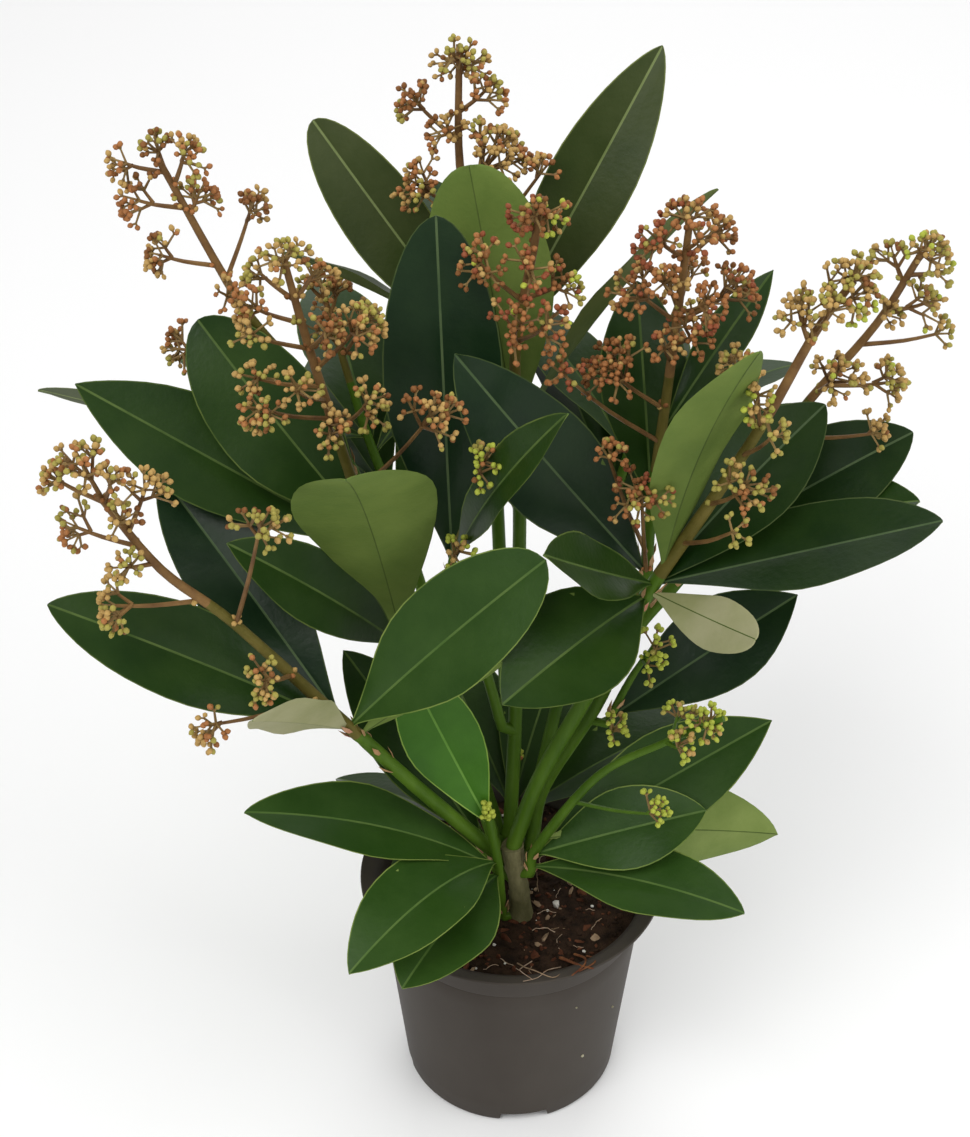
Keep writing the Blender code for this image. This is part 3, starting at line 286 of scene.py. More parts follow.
# Each shoot: its bough from the trunk to the leaves, then its own stem up through the leaves
# and the flower head. A leaf or sprig starts at a height along that stem and ends at a point.
SHOOTS = (
    Shoot(
        "left",
        bough=((-8.3, -21.2, 141), (-36, -35, 186), (-57, -46.5, 223)),
        stem=((-58, -47, 225), (-65, -50, 236), (-102, -58, 290), (-126, -62, 318), (-144, -67, 354)),
        radii=(3.2, 2.7, 1.3),
        leaves=(
            Leaf(12, (-172, -45, 289), 38, (0.1, -0.5, 0.85), 0.03),
            Leaf(15, (-135, 8, 311), 38, (0.2, -0.7, 0.7), 0.03, tone="deep"),
            Leaf(10, (10, -50, 313), 42, FRONT_UP, 0.05, blunt=0.45, tone="mid"),
            Leaf(4, (-1, -45, 265), 32, (0, 0.8, 0.5), 0.04),
            Leaf(9, (-95, -85, 268), 28, (-0.1, 1, 0.2), 0.02, tone="pale"),
        ),
        sprigs=(
            Sprig(153, (-149, -69, 373), 6, 10),
            Sprig(153, (-162, -62, 359), 2, 5),
            Sprig(153, (-137, -74, 366), 2, 5),
            Sprig(137, (-126, -66, 360), 4, 8),
            Sprig(129, (-159, -60, 337), 4, 8),
            Sprig(141, (-137, -76, 349), 2, 5),
            Sprig(120, (-140, -72, 326), 2, 5),
            Sprig(96, (-149, -64, 303), 5, 9),
            Sprig(79, (-87, -80, 353), 5, 8),
            Sprig(46, (-91, -84, 285), 4, 8),
            Sprig(30, (-116, -76, 256), 3, 7),
        ),
    ),
    Shoot(
        "front",
        stem=(
            (-3.9, -18.4, 99.2), (-4.8, -21.4, 115), (-5.6, -24.2, 129), (-6.6, -27.5, 143), (-10, -30, 168),
        ),
        radii=(2.1, 2.1, 2.0),
        leaves=(
            Leaf(33, (-44, -88, 131), 40, UP, 0.1, tone="mid"),
            Leaf(42, (-64, -95, 147), 38, UP, 0.15, tone="mid"),
            Leaf(37, (-106, -46, 186), 34, (0, -0.2, 0.9), 0.09, tone="mid"),
            Leaf(64, (-43, -19, 240), 31, FRONT, 0.02, tone="bright"),
        ),
    ),
    Shoot(
        "low_right",
        stem=((7.5, -21, 128), (10, -22.5, 144), (33, -32, 192), (58, -38, 215), (80, -42, 231)),
        radii=(3.0, 2.4, 1.2),
        leaves=(
            Leaf(4, (93, -55, 139), 34, UP, 0.08, tone="mid"),
            Leaf(12, (78, -25, 167), 34, FRONT_UP, 0.05, tone="mid"),
            Leaf(9, (107, 10, 185), 40, FRONT_UP, 0.03, blunt=0.9, tone="mid"),
            Leaf(24, (115, 16, 115), 42, (0.4, 0.9, -0.3), 0.04, tone="mid"),
        ),
        sprigs=(
            Sprig(122, (75, -43, 230), 5, 9),
            Sprig(109, (63, -38, 234), 3, 6),
            Sprig(106, (65, -50, 222), 2, 5),
            Sprig(51, (58, -48, 186), 2, 5),
        ),
    ),
    Shoot(
        "low_left",
        stem=((-6.8, -12.4, 122), (-15, -6, 138), (-28, 4, 166)),
        radii=(2.6, 2.4, 2.2),
        leaves=(
            Leaf(12, (-68, 5, 226), 34, FRONT_UP, 0.05),
            Leaf(6, (-52, -2, 112), 32, UP, 0.06),
            Leaf(18, (-77, 45, 121), 30, (-0.2, 0.5, 0.8), 0.04),
        ),
    ),
    Shoot(
        "right",
        bough=((0.8, -17, 141.6), (10, -17.5, 176), (26, -18, 216), (46, -16, 261)),
        stem=((47, -16, 263), (55, -15, 280), (74, -14, 316), (91, -12, 350), (106, -8, 383), (118, -5, 402)),
        radii=(3.4, 3.0, 1.4),
        leaves=(
            # These two leaves take the tone of painted shade, darkened against the light that falls on the
            # right.
            Leaf(14, (158, -20, 309), 40, UP, 0, tone="shade"),
            Leaf(12, (117, 20, 334), 40, (-0.3, -0.6, 0.7), 0.05, tone="shade"),
            Leaf(20, (81, -45, 398), 38, (-0.5, 0.8, 0.3), 0.05),
            Leaf(8, (-5, -80, 271), 44, FRONT_UP, 0.08),
            Leaf(14, (9, -84, 341), 26, (0.3, -0.5, 0.8), -0.01),
            Leaf(10, (87, -60, 284), 21, (0.1, 0.6, -0.6), 0.05, blunt=0.5, tone="pale"),
        ),
        sprigs=(
            Sprig(152, (119, -6, 409), 5, 9),
            Sprig(144, (108, -10, 409), 2, 5),
            Sprig(129, (97, -14, 399), 5, 10),
            Sprig(147, (120, -16, 402), 4, 9),
            Sprig(134, (109, -22, 402), 2, 5),
            Sprig(90, (79, 0, 370), 3, 8),
            Sprig(92, (84, -30, 373), 4, 8),
            Sprig(55, (81, -44, 340), 5, 10),
            Sprig(79, (90, -40, 360), 2, 5),
            Sprig(35, (78, -54, 329), 2, 5),
        ),
    ),
    Shoot(
        "inner_right",
        stem=((38, -6, 197), (42, -7, 210), (47, -9, 225), (52, -12, 238)),
        radii=(2.2, 1.8, 1.2),
        leaves=(
            Leaf(4, (114, 20, 243), 38, FRONT_UP, 0.03, blunt=0.9, tone="deep"),
        ),
        sprigs=(
            Sprig(40, (55, -18, 251), 3, 6),
            Sprig(40, (52, -24, 241), 2, 5),
            Sprig(3, (38, -32, 214), 2, 5),
        ),
    ),
    Shoot(
        "right_back",
        bough=((8, -12.5, 137), (13, -3, 160), (33, -3, 203), (46, 2, 235), (66, 18, 252)),
        stem=((68, 20, 254), (80, 28, 272), (98, 33, 300), (113, 30, 330), (134, 28, 364), (147, 25, 396)),
        radii=(3.0, 2.5, 1.3),
        # This leaf takes the tone of painted shade, darkened against the light that falls on the right.
        leaves=(Leaf(10, (156, 40, 308), 40, FRONT_UP, 0.05, tone="shade"),),
        whorls=(Whorl(10, 3, 352, 34, 12, 92, 38),),
        sprigs=(
            Sprig(160, (151, 24, 402), 6, 10),
            Sprig(151, (136, 30, 397), 4, 8),
            Sprig(155, (157, 20, 392), 2, 5),
            Sprig(137, (155, 24, 377), 4, 9),
            Sprig(136, (137, 22, 372), 2, 5),
            Sprig(120, (162, 28, 361), 1, 5),
            Sprig(98, (146, 22, 343), 4, 9),
            Sprig(94, (118, 6, 356), 5, 10),
            Sprig(69, (141, 20, 321), 2, 5),
        ),
    ),
    Shoot(
        "centre_right",
        bough=((37.8, -10.8, 237), (50, -3, 262)),
        stem=((51, -1, 265), (52, 8, 285), (54, 15, 307), (57, 15, 350), (61, 12, 418)),
        radii=(2.8, 2.6, 1.3),
        leaves=(
            Leaf(4, (-22, -14, 377), 40, FRONT, 0.05, tone="deep"),
            Leaf(62, (98, 55, 372), 18, FRONT_UP, 0.07, blunt=0.9),
            Leaf(30, (46, 50, 370), 34, FRONT, 0.05),
        ),
        sprigs=(
            Sprig(150, (59, 14, 422), 4, 8),
            Sprig(139, (75, 18, 413), 4, 8),
            Sprig(139, (46, 8, 414), 3, 7),
            Sprig(143, (64, 0, 416), 2, 5),
            Sprig(112, (38, 12, 393), 5, 10),
            Sprig(122, (50, -2, 401), 2, 5),
            Sprig(112, (83, 10, 393), 5, 10),
            Sprig(116, (69, -4, 393), 3, 7),
            Sprig(102, (65, -6, 382), 4, 8),
            Sprig(95, (52, -8, 377), 2, 5),
            Sprig(73, (30, 2, 364), 7, 12),
            Sprig(4, (45, -30, 330), 6, 10),
            Sprig(11, (32, -22, 342), 2, 5),
            Sprig(58, (13, -8, 368), 2, 5),
        ),
    ),
    Shoot(
        "centre",
        bough=((-1, -8, 141), (1, 5, 200), (2, 14, 279), (1, 15, 310)),
        stem=((1, 15, 313), (0, 15, 340), (0, 15, 365), (5, 15, 398), (9, 15, 424)),
        radii=(3.0, 2.6, 1.3),
        leaves=(
            Leaf(10, (-17, 38, 425), 46, BACK, 0.03, blunt=0.45),
            Leaf(12, (75, 60, 404), 30, (-0.5, 0.6, 0.6), 0.04, tone="olive"),
        ),
        sprigs=(
            Sprig(105, (8, 16, 419), 8, 13),
            Sprig(69, (-16, 2, 408), 5, 9),
            Sprig(79, (5, -2, 406), 4, 8),
            Sprig(70, (20, 4, 398), 4, 8),
            Sprig(50, (-1, -14, 389), 4, 9),
            Sprig(52, (12, -12, 389), 3, 8),
        ),
    ),
    Shoot(
        "top",
        bough=((-2.8, 10.4, 201), (-6, 36, 260), (-8, 55, 315)),
        stem=((-8, 56, 318), (-14, 68, 370), (-21, 75, 406), (-21, 85, 450)),
        radii=(3.0, 2.4, 1.2),
        leaves=(
            Leaf(12, (-77, 90, 417), 32, FRONT, 0.05, blunt=0.5, tone="olive"),
            Leaf(14, (-88, 60, 377), 32, (0.1, 0.42, 0.9), 0.03, tone="olive"),
            Leaf(12, (55, 95, 445), 33, FRONT, 0.05, tone="olive"),
        ),
        whorls=(Whorl(8, 2, 60, 50, 30, 95, 36),),
        sprigs=(
            Sprig(129, (-21, 86, 445), 7, 11),
            Sprig(100, (-41, 82, 432), 3, 7),
            Sprig(111, (-8, 78, 438), 4, 8),
            Sprig(100, (-30, 74, 424), 3, 7),
            Sprig(80, (-3, 68, 421), 9, 14),
            Sprig(72, (-41, 62, 407), 5, 10),
            Sprig(57, (12, 62, 413), 2, 6),
        ),
    ),
    Shoot(
        "upper_left",
        bough=((-15.5, -1.2, 171), (-36, 12, 232), (-60, 21, 296)),
        stem=((-61, 22, 298), (-81, 25, 342), (-102, 25, 376), (-128, 30, 432)),
        radii=(2.8, 2.4, 1.2),
        leaves=(
            Leaf(8, (-184, 40, 328), 30, (0, 0.3, 0.95), 0, tone="olive"),
            Leaf(5, (-156, 40, 304), 36, FRONT_UP, 0.05),
        ),
        whorls=(Whorl(10, 1, 128, 30, 8, 95, 34),),
        sprigs=(
            Sprig(144, (-144, 28, 432), 3, 6),
            Sprig(144, (-129, 34, 438), 2, 5),
            Sprig(138, (-116, 22, 441), 3, 7),
            Sprig(126, (-113, 30, 421), 3, 7),
            Sprig(129, (-140, 24, 419), 4, 8),
            Sprig(98, (-95, 40, 412), 4, 8),
            Sprig(104, (-133, 20, 399), 4, 7),
            Sprig(64, (-133, 45, 343), 4, 7),
            Sprig(88, (-107, 14, 386), 2, 5),
        ),
    ),
    Shoot(
        "mid_left",
        bough=((-7.6, -12.6, 139), (-30, -2, 215), (-48, -3, 264)),
        stem=((-49, -3, 266), (-56, -5, 298), (-62, -6, 321), (-74, -10, 377), (-81, -12, 414)),
        radii=(3.0, 2.6, 1.3),
        leaves=(
            Leaf(18, (-164, 14, 347), 40, FRONT_UP, 0, blunt=0.85),
            Leaf(24, (-118, 25, 368), 44, FRONT, 0.05, blunt=0.5),
        ),
        sprigs=(
            Sprig(146, (-82, -12, 420), 5, 9),
            Sprig(135, (-94, -4, 408), 3, 6),
            Sprig(135, (-69, -6, 410), 3, 6),
            Sprig(125, (-97, -18, 401), 3, 7),
            Sprig(114, (-97, -24, 393), 2, 5),
            Sprig(105, (-52, -22, 398), 6, 9),
            Sprig(114, (-65, -30, 398), 3, 6),
            Sprig(97, (-95, -30, 378), 2, 5),
            Sprig(82, (-93, -40, 372), 5, 8),
            Sprig(91, (-78, -40, 379), 2, 5),
            Sprig(77, (-51, -34, 371), 3, 7),
            Sprig(74, (-66, -40, 365), 3, 7),
            Sprig(47, (-28, -42, 372), 5, 11),
        ),
    ),
    Shoot(
        "inner_left",
        bough=((-25.6, -10.8, 192), (-34, -12, 213), (-41, -8, 231)),
        stem=((-42, -8, 233), (-44, -8, 244)),
        radii=(2.6, 2.4, 2.2),
        leaves=(
            Leaf(6, (-104, -44, 316), 29, FRONT_UP, 0.05),
            Leaf(8, (-57, -93, 379), 52, (-0.15, 0.8, 0.5), 0.1),
        ),
    ),
    Shoot(
        "inner_centre",
        bough=((-4.6, -0.8, 191), (-12, -3, 225), (-22, -7, 262)),
        stem=((-22.5, -7.5, 265), (-24, -10, 282), (-18, -14, 305), (-10, -16, 322)),
        radii=(2.4, 2.0, 1.0),
        leaves=(
            Leaf(14, (-29, 20, 414), 44, FRONT, 0.04, blunt=0.5, tone="deep"),
            Leaf(16, (16, -58, 381), 22, (-0.8, -0.4, 0.3), 0.05),
        ),
        sprigs=(
            Sprig(50, (-13, -36, 348), 3, 7),
            Sprig(23, (-23, -34, 303), 2, 6),
        ),
    ),
    Shoot(
        "back_left",
        bough=((-3.8, -9.2, 134), (-25, 25, 190), (-45, 54, 250)),
        stem=((-46, 56, 253), (-60, 76, 283), (-72, 90, 322), (-77, 96, 340)),
        radii=(2.8, 2.4, 1.2),
        whorls=(Whorl(8, 4, 70, 42, 14, 102, 38), Whorl(30, 4, 50, 50, 14, 92, 36)),
        spray=Spray(72, 5, 22, 52, 10, 37),
    ),
    Shoot(
        "back_right",
        bough=((3.8, -10.1, 126), (20, 28, 185), (36, 58, 240)),
        stem=((37, 60, 243), (50, 79, 280), (65, 94, 326), (70, 99, 346)),
        radii=(2.8, 2.4, 1.2),
        whorls=(Whorl(8, 4, 40, 34, 14, 98, 38), Whorl(30, 4, 34, 42, 16, 92, 36)),
        spray=Spray(76, 5, 22, 52, 70, 41),
    ),
    Shoot(
        "back_low",
        stem=((-3.2, -9.4, 118), (-1, 3, 136), (2, 15, 160)),
        radii=(2.4, 2.2, 2.0),
        whorls=(Whorl(22, 3, 30, 38, 6, 98, 36),),
    ),
)


def smooth_route(points, steps=2):
    """Points along a smooth curve through the given ones, steps to each stretch."""
    ends = [Vector(p) for p in points]
    ends = [2 * ends[0] - ends[1], *ends, 2 * ends[-1] - ends[-2]]
    route = []
    for i in range(1, len(ends) - 2):
        before, start, end, after = ends[i - 1 : i + 3]
        for k in range(steps):
            t = k / steps
            out = (end - before) * 0.5
            into = (after - start) * 0.5
            route.append(
                start * (2 * t**3 - 3 * t**2 + 1)
                + out * (t**3 - 2 * t**2 + t)
                + end * (3 * t**2 - 2 * t**3)
                + into * (t**3 - t**2)
            )
    return [*route, ends[-2]]


def along(route, distance):
    """The point and the direction at a distance along a route, or at its end if that is nearer."""
    for start, end in zip(route, route[1:]):
        length = (end - start).length
        if distance <= length or end is route[-1]:
            break
        distance -= length
    way = (end - start).normalized()
    return start + way * min(distance, length), way


def route_length(route):
    return sum((b - a).length for a, b in zip(route, route[1:]))


def side_of(way):
    """A level direction square to way."""
    side = way.cross(Vector((0, 0, 1)))
    return side.normalized() if side.length > 0.05 else Vector((1, 0, 0))


def around(way, angle):
    """The direction square to way, turned round it by an angle from its level side."""
    side = side_of(way)
    return side * math.cos(angle) + side.cross(way) * math.sin(angle)


def leaning(way, angle, spread):
    """A direction that leans away from way by spread, at an angle round it."""
    return way * math.cos(spread) + around(way, angle) * math.sin(spread)


def skin_faces(rings, sides):
    """Faces over a stack of rings of points, from a first point to a last one."""
    last = 1 + (rings - 1) * sides
    faces = []
    for k in range(sides):
        following = (k + 1) % sides
        faces.append((0, 1 + following, 1 + k))
        for i in range(rings - 1):
            a = 1 + i * sides
            faces.append((a + k, a + following, a + sides + following, a + sides + k))
        faces.append((last + k, last + following, last + sides))
    return faces


def turned_profile(profile, segments):
    """A closed solid of revolution. The profile's first and last points are on the axis."""
    points = [Vector((0, 0, profile[0][1]))]
    for radius, height in profile[1:-1]:
        for k in range(segments):
            angle = 2 * math.pi * k / segments
            points.append(Vector((radius * math.cos(angle), radius * math.sin(angle), height)))
    points.append(Vector((0, 0, profile[-1][1])))
    return points, skin_faces(len(profile) - 2, segments)


def tube(route, radii, sides):
    """A closed tapering tube: radii are spread evenly over the route's length."""
    total = route_length(route)
    gone = 0.0
    side = side_of(route[1] - route[0])
    points, faces = [], []
    for i, centre in enumerate(route):
        before = route[max(i - 1, 0)]
        after = route[min(i + 1, len(route) - 1)]
        way = (after - before).normalized()
        side = (side - way * side.dot(way)).normalized()
        up = way.cross(side)
        gone += (centre - before).length
        place = min(gone / total, 1) * (len(radii) - 1)
        k = min(int(place), len(radii) - 2)
        radius = radii[k] + (radii[k + 1] - radii[k]) * (place - k)
        for j in range(sides):
            angle = 2 * math.pi * j / sides
            points.append(centre + radius * (math.cos(angle) * side + math.sin(angle) * up))
    for i in range(len(route) - 1):
        for j in range(sides):
            a = i * sides + j
            b = i * sides + (j + 1) % sides
            faces.append((a, b, b + sides, a + sides))
    faces.append(tuple(range(sides - 1, -1, -1)))
    faces.append(tuple(range((len(route) - 1) * sides, len(route) * sides)))
    return points, faces


def rough_tube(heap, route, radii, relief, look_at):
    """A closed tube with fine ridges along it, and a look for each place along it."""
    points, faces = tube(route, radii, STEM_ROUND)
    for i, centre in enumerate(route):
        for k in range(i * STEM_ROUND, (i + 1) * STEM_ROUND):
            out = points[k] - centre
            grain = noise.noise(Vector((out.x * 1.1, out.y * 1.1, centre.z * 0.35)) + centre * 0.2)
            points[k] = centre + out * (1 + relief * grain / out.length)
    looks = [look_at(i / (len(route) - 1)) for i in range(len(route) - 1) for _ in range(STEM_ROUND)]
    heap.add(points, faces, looks + [looks[0], looks[-1]])


def half_width(t, leaf, least=PETIOLE / 2):
    """Half the blade's width at t along it: a wedge-shaped base, widest past the middle."""
    place = t**LEAF_BELLY
    power = LEAF_BASE if place < 0.5 else leaf.blunt
    return max(0.5 * leaf.width * math.sin(math.pi * place) ** power, least)


def blade_at(base, leaf, t):
    """The arched blade's middle, its side and its upper normal at t along it."""
    tip = Vector(leaf.tip)
    way = (tip - base).normalized()
    face = Vector(leaf.face)
    side = way.cross((face - way * face.dot(way)).normalized())
    normal = side.cross(way)
    middle = base.lerp(tip, t) + normal * (leaf.bow * (tip - base).length * 4 * t * (1 - t))
    return middle, side, normal


def leaf_corners(base, leaf):
    """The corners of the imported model's blade, by its own rule."""
    thick = 0.5 * max(LEAF_THICKNESS, (Vector(leaf.tip) - base).length / LEAF_SLENDERNESS)
    corners = [base]
    for t in LEAF_STATIONS:
        middle, side, normal = blade_at(base, leaf, t)
        half = half_width(t, leaf)
        lift = normal * (half * LEAF_FOLD)
        corners += [middle - side * half + lift, middle + normal * thick]
        corners += [middle + side * half + lift, middle - normal * thick]
    return [*corners, Vector(leaf.tip)]


def twig_corners(start, end):
    """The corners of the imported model's twig, which swells at its end into a head of buds."""
    way = (end - start).normalized()
    rings = (
        (start, TWIG_RADII[0], 0),
        (end - way * HEAD_RADIUS * 0.9, TWIG_RADII[1], 0),
        (end - way * HEAD_RADIUS * 0.25, HEAD_RADIUS, 0),
        (end + way * HEAD_RADIUS * 0.5, HEAD_RADIUS * 0.85, 0.5),
    )
    corners = []
    for centre, radius, turn in rings:
        for k in range(3):
            corners.append(centre + radius * around(way, -2 * math.pi * (k + turn) / 3))
    return corners


def whorl_leaves(stem, whorl, rng):
    """Leaves set round a stem by turning a fixed step for each."""
    leaves = []
    for i in range(whorl.count):
        up = whorl.up + 2.5 * i
        base, _ = along(stem, up)
        azimuth = math.radians(whorl.azimuth + whorl.step * i + rng.uniform(-8, 8))
        rise = math.radians(whorl.rise + rng.uniform(-10, 14))
        length = whorl.length * rng.uniform(0.88, 1.06)
        level = Vector((math.cos(azimuth), math.sin(azimuth), 0))
        tip = base + length * (math.cos(rise) * level + math.sin(rise) * Vector((0, 0, 1)))
        width = whorl.width * rng.uniform(0.9, 1.1)
        face = (rng.uniform(-0.25, 0.25), rng.uniform(-0.25, 0.25), 1)
        leaves.append(Leaf(up, tuple(tip), width, face, rng.uniform(0.03, 0.09)))
    return leaves


def spray_branches(stem, spray):
    """The flower head's side branches by rule, each with two shorter twigs past its middle."""
    rng = random.Random(spray.seed)
    total = route_length(stem)
    branches = []
    for i in range(spray.count):
        share = i / spray.count
        start, way = along(stem, spray.start + (total - spray.start) * share)
        azimuth = math.radians(spray.turn + GOLDEN_TURN * i + rng.uniform(-15, 15))
        lean = math.radians(spray.lean * (1.1 - 0.5 * share) + rng.uniform(-8, 8))
        reach = leaning(way, azimuth, lean)
        end = start + reach * spray.length * (1 - 0.45 * share) * rng.uniform(0.85, 1.15)
        branch = end - start
        across = branch.cross(way).normalized()
        twigs = []
        for hand in (-1, 1):
            root = start + branch * rng.uniform(0.45, 0.6)
            turned = branch.normalized() + across * hand * rng.uniform(0.6, 0.95) + way * rng.uniform(0, 0.35)
            twigs.append((root, root + turned.normalized() * branch.length * 0.52))
        branches.append([(start, end), *twigs])
    way = (stem[-1] - stem[-2]).normalized()
    branches.append([(stem[-1] - way * 2, stem[-1] + way * 6)])
    return branches


def sprig_branch(stem, sprig):
    """A side branch from a height on the stem to an end, with heads spread round that end."""
    start, _ = along(stem, sprig.up)
    end = Vector(sprig.end)
    branch = end - start
    way = branch.normalized()
    fork = end - way * min(sprig.spread * 1.3, 0.6 * branch.length)
    twigs = [(start, end)]
    for i in range(1, sprig.heads):
        radius = sprig.spread * math.sqrt(i / (sprig.heads - 1))
        out = around(way, math.radians(GOLDEN_TURN * i))
        twigs.append((fork, end + out * radius - way * (0.35 * radius)))
    return twigs


def node_tree_of(node):
    """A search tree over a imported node's points, in metres."""
    points = node.data.vertices
    tree = KDTree(len(points))
    for i, v in enumerate(points):
        tree.insert(v.co, i)
    tree.balance()
    return tree


def stands(tree, corners):
    """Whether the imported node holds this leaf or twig: enough of its corners are the node's own."""
    found = sum(tree.find(p * MM)[2] < SAME_POINT for p in corners)
    return found >= SAME_SHARE * len(corners)


class Heap:
    """Points and faces gathered for one piece, in millimetres, each face with its look."""

    def __init__(self):
        self.points = []
        self.faces = []
        self.looks = []

    def add(self, points, faces, looks):
        start = len(self.points)
        self.points += [tuple(p) for p in points]
        self.faces += [tuple(start + k for k in face) for face in faces]
        self.looks += looks if isinstance(looks, list) else [looks] * len(faces)


def turn_faces_out(mesh):
    shell = bmesh.new()
    shell.from_mesh(mesh)
    bmesh.ops.recalc_face_normals(shell, faces=shell.faces)
    shell.to_mesh(mesh)
    shell.free()


def add_object(name, data):
    made = bpy.data.objects.new(name, data)
    bpy.context.scene.collection.objects.link(made)
    return made


def make_piece(name, heap, finishes, nodes):
    """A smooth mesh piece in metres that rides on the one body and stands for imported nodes."""
    mesh = bpy.data.meshes.new(name)
    mesh.from_pydata([(x * MM, y * MM, z * MM) for x, y, z in heap.points], [], heap.faces)
    for finish in finishes:
        mesh.materials.append(finish)
    mesh.polygons.foreach_set("material_index", heap.looks)
    turn_faces_out(mesh)
    mesh.shade_smooth()
    mesh.set_sharp_from_angle(angle=math.radians(50))
    piece = add_object(name, mesh)
    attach(piece, "root")
    if nodes:
        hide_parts(*nodes)
    return piece


def blade_steps(half):
    """Places across the blade from margin to margin, with a strip at each edge and a midrib."""
    edge = 1 - min(MARGIN_WIDTH / half, 0.25)
    rib = min(RIB_WIDTH / half, 0.3)
    right = (rib, rib + (edge - rib) * 0.34, rib + (edge - rib) * 0.68, edge, 1)
    return [-u for u in reversed(right)] + [0] + list(right)


def blade_row(base, leaf, t, wave):
    """One row of the blade's upper and lower points, with its fold, waved edge and sunken midrib."""
    middle, side, normal = blade_at(base, leaf, t)
    half = half_width(t, leaf, PETIOLE / 2 if t < 0.5 else TIP_HALF)
    top, under = [], []
    for u in blade_steps(half):
        lift = half * LEAF_FOLD * abs(u) ** 1.3
        turn = wave + (2.1 if u > 0 else 0)
        lift += EDGE_WAVE * u * u * math.sin(turn) * math.sin(math.pi * t)
        rib = RIB_DEPTH * max(0.0, 1 - abs(u) * half / RIB_REACH)
        place = middle + side * (u * half)
        top.append(place + normal * (lift - rib))
        under.append(place + normal * (lift - rib * 1.8 - BLADE_THICKNESS * (1 - abs(u) ** 6)))
    return top, under


def fine_leaf(heap, base, leaf, rng):
    """A thin blade with a sunken midrib, pale margins and a slightly waved edge."""
    phase = rng.uniform(0, 6.3)
    waves = rng.uniform(1.6, 2.6)
    points, faces, looks = [], [], []
    for i in range(LEAF_ROWS + 1):
        t = 0.5 - 0.5 * math.cos(math.pi * i / LEAF_ROWS)
        top, under = blade_row(base, leaf, t, 2 * math.pi * waves * t + phase)
        points += top + under[1:-1]
    across = len(top)
    per_row = 2 * across - 2
    ring = list(range(across)) + list(range(per_row - 1, across - 1, -1))
    for i in range(LEAF_ROWS):
        a = i * per_row
        for k in range(per_row):
            j = (k + 1) % per_row
            faces.append((a + ring[k], a + ring[j], a + per_row + ring[j], a + per_row + ring[k]))
            looks.append(leaf_look(leaf.tone, blade_part(k, across, i)))
    faces.append(tuple(reversed(ring)))
    faces.append(tuple(LEAF_ROWS * per_row + k for k in ring))
    looks += [leaf_look(leaf.tone, RIB)] * 2
    heap.add(points, faces, looks)


def leaf_look(tone, part):
    return TONES.index(tone) * 5 + part


def blade_part(k, across, row):
    """The part that a strip shows: the upper side has strips 0 to across - 2, the underside follows."""
    last = across - 2
    if k > last:
        return UNDER_RIB if abs(k - across + 1 - (last - 1) / 2) < 1 else UNDER
    if k in (0, last):
        return MARGIN
    return RIB if abs(k - last / 2) < 1 or row < 2 else BLADE


def bud(heap, centre, way, length, girth, colour):
    """One flower bud: an egg on its stalk, with a redder foot."""
    points = [centre - way * (0.5 * length)]
    for share, radius in BUD_RINGS:
        for k in range(BUD_SIDES):
            out = around(way, -2 * math.pi * k / BUD_SIDES)
            points.append(centre + way * (length * (share - 0.45)) + out * (girth * radius))
    points.append(centre + way * (0.55 * length))
    looks = [0] + [colour] * len(BUD_RINGS)
    heap.add(points, skin_faces(len(BUD_RINGS), BUD_SIDES), looks * BUD_SIDES)


def bud_colour(main, mix, rng):
    """Mostly the umbel's own colour, now and then another of the shoot's."""
    names = list(BUD_COLOURS)
    return 1 + names.index(main if rng.random() < OWN_COLOUR_SHARE else rng.choices(names, mix)[0])


def bud_group(heaps, foot, way, count, reach, colours, rng):
    """Buds that stand close together round one point, each on its own very short stalk."""
    turn = rng.uniform(0, 6.3)
    for i in range(count):
        spread = rng.uniform(0.45, 0.95) if count > 1 else 0.0
        out = leaning(way, turn + 2 * math.pi * i / count, spread)
        length = rng.uniform(*BUD_LENGTH)
        place = foot + out * (reach * rng.uniform(0.8, 1.2))
        bud(heaps.buds, place, out, length, length * rng.uniform(*BUD_GIRTH), bud_colour(*colours, rng))
        heaps.twigs.add(*tube([foot, place - out * 0.6], STALK_RADII, 4), STALK)


def umbel(heaps, root, end, mix, rng):
    """A head at a twig's end: short branches that spread from one place, each with its buds."""
    way = (end - root).normalized()
    heart = end - way * UMBEL_DEPTH
    colours = (rng.choices(list(BUD_COLOURS), mix)[0], mix)
    branches = rng.randint(4, 5)
    for i in range(branches):
        angle = 2 * math.pi * i / branches + rng.uniform(-0.4, 0.4)
        out = leaning(way, angle, 0.15 if i == 0 else rng.uniform(*UMBEL_SPREAD))
        fork = heart + out * rng.uniform(*UMBEL_REACH)
        heaps.twigs.add(*tube([heart, fork], UMBEL_RADII, 4), STALK)
        bud_group(heaps, fork, out, rng.randint(2, 3), 2.0, colours, rng)


def near_any(place, others, distance):
    return any((place - other).length < distance for other in others)


